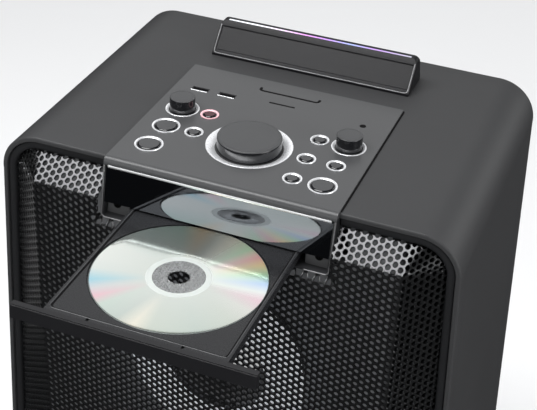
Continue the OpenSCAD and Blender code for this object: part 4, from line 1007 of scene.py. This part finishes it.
def discPieces(own=disc):
    # Three closed sections turned about the disc's axis, one inside the other
    low, high = span("disc")
    x, y, z0, z1 = (low[0] + high[0]) / 2, (low[1] + high[1]) / 2, low[2], high[2]
    hole, hub, inner, outer, edge = (own[key] for key in ("hole", "hub", "frosted", "clear", "edge"))
    clear = [(hole, z0 + 0.1), (hole, z1 - 0.1), (hole + 0.15, z1), (hub - 0.8, z1), (hub - 0.5, z1 - 0.12),
             (hub, z1), (inner, z1), (inner, z0), (hub - 1, z0), (hole + 0.15, z0)]
    frosted = [(inner + 0.02, z0), (inner + 0.02, z1 - 0.03), (inner + 0.4, z1), (outer - 1.2, z1),
               (outer - 0.9, z1 - 0.1), (outer - 0.6, z1), (outer - 0.02, z1 - 0.03), (outer - 0.02, z0)]
    face = [(outer, z0), (outer, z1 - 0.02), (outer + 0.3, z1)]
    face += [(r, z1) for r in np.linspace(outer + 4, edge - 1.2, 8)]
    face += [(edge - 0.9, z1 - 0.04), (edge - 0.3, z1 - 0.04), (edge, z1 - 0.2), (edge, z0 + 0.2), (edge - 0.2, z0)]
    look["clear"], look["face"] = clearMaterial("discClear", (0.9, 0.92, 0.92)), discMaterial(x, y)
    sections = {"discHub": (clear, 128, "clear", ["disc"]), "discStack": (frosted, 128, "frosted", ()),
                "discMirror": (face, 192, ["face", "discEdge"], ())}
    for name, (section, sides, looks, replaced) in sections.items():
        made = makeMesh(name, *lathe(section, x, y, sides, True), "tray", looks, replaced, "disc", 30)
    for polygon in made.data.polygons:
        if hypot(polygon.center.x - x * mm, polygon.center.y - y * mm) > (edge - own["dullEdge"]) * mm:
            polygon.material_index = 1


discPieces()
print("disc done")

# Camera, as fitted to the photograph
view = {"azimuth": 19.61, "elevation": 33.41, "roll": 2.98, "lens": 84.31, "place": (0.2787, -0.7316, 1.0291)}


def camera(own=view):
    # Axes from azimuth and elevation, then right and up turned about the line of sight by the roll
    az, el, roll = (radians(own[k]) for k in ("azimuth", "elevation", "roll"))
    right = Vector((cos(az), sin(az), 0))
    back = Vector((sin(az) * cos(el), -cos(az) * cos(el), sin(el)))
    up = back.cross(right)
    data = bpy.data.cameras.new("photoCamera")
    data.lens = own["lens"]
    data.sensor_width = 36
    data.sensor_fit = "HORIZONTAL"
    data.clip_start = 0.01
    axes = Matrix((right * cos(roll) + up * sin(roll), -right * sin(roll) + up * cos(roll), back))
    placed = axes.transposed().to_4x4()
    placed.translation = own["place"]
    made = addObject("photoCamera", data)
    made.matrix_world = placed
    bpy.context.scene.camera = made


# Area lights: place, aim, size in metres, power in watts
studio = {
    "backSoftbox": ((-0.75, 2.6, 2.35), (0, 0, 0.5), (2.6, 1.7), 13.5),
    "topSoftbox": ((-0.42, -0.26, 1.62), (-0.42, -0.26, 0.6), (1.08, 0.5), 18.0),
    "leftCard": ((-0.8, -0.05, 0.2), (-0.16, -0.055, 0.42), (0.9, 0.5), 0.6),
    "frontSoftbox": ((-0.8, -2.4, 1.4), (0, 0, 0.5), (1.4, 1.0), 7.5),
    "rightFill": ((2.3, -0.5, 1.1), (0.1, 0, 0.4), (1.2, 1.2), 30.0),
    "rightRim": ((1.7, 2.0, 1.3), (0.1, 0, 0.5), (0.5, 1.2), 10.0),
}


def light(name, place, aim, size, power):
    # A rectangle that looks along the line from its place to its aim, out of the camera's sight
    data = bpy.data.lights.new(name, "AREA")
    data.shape = "RECTANGLE"
    data.size, data.size_y = size
    data.energy = power
    made = addObject(name, data)
    made.location = place
    made.visible_camera = False
    made.rotation_euler = (Vector(aim) - Vector(place)).to_track_quat("-Z", "Y").to_euler()


# Colour and strength of the surroundings, as seen by matt surfaces, by glossy ones and by the camera
surroundings = {"matt": ((0.9, 0.91, 0.93, 1), 0.66), "glossy": ((0.9, 0.92, 1.0, 1), 0.014),
                "seen": ((1, 1, 1, 1), 0.98)}


def world(own=surroundings):
    # The kind of ray chooses between the three
    made = bpy.data.worlds.new("studio")
    bpy.context.scene.world = made
    made.use_nodes = True
    tree = made.node_tree
    tree.nodes.clear()
    matt, glossy, seen = (node(tree, "Background", {"Color": colour, "Strength": strength}).outputs[0]
                          for colour, strength in own.values())
    path = node(tree, "LightPath").outputs
    both = node(tree, "MixShader", {0: path["Is Glossy Ray"], 1: matt, 2: glossy}).outputs[0]
    both = node(tree, "MixShader", {0: path["Is Camera Ray"], 1: both, 2: seen}).outputs[0]
    tree.links.new(both, tree.nodes.new("ShaderNodeOutputWorld").inputs[0])


def floor(half=4.0, thick=0.02, n=24):
    # A plain pale floor, thick enough to be one closed slab
    places = np.linspace(-half, half, n)
    points = [(x, y, z) for z in (0.0, -thick) for y in places for x in places]
    top = gridFaces(n, n)
    mesh = bpy.data.meshes.new("paleFloor")
    mesh.from_pydata(points, [], top + [[k + n * n for k in f[::-1]] for f in top])
    made = addObject("paleFloor", mesh)
    mesh.materials.append(moulded("floorPaint", (0.84, 0.84, 0.84), 0.8, 60, 0.02, 2, 0.01))
    made.visible_glossy = False


camera()
for lightName, own in studio.items():
    light(lightName, *own)
world()
floor()
print("studio done")
bpy.context.scene.view_settings.view_transform = "Standard"
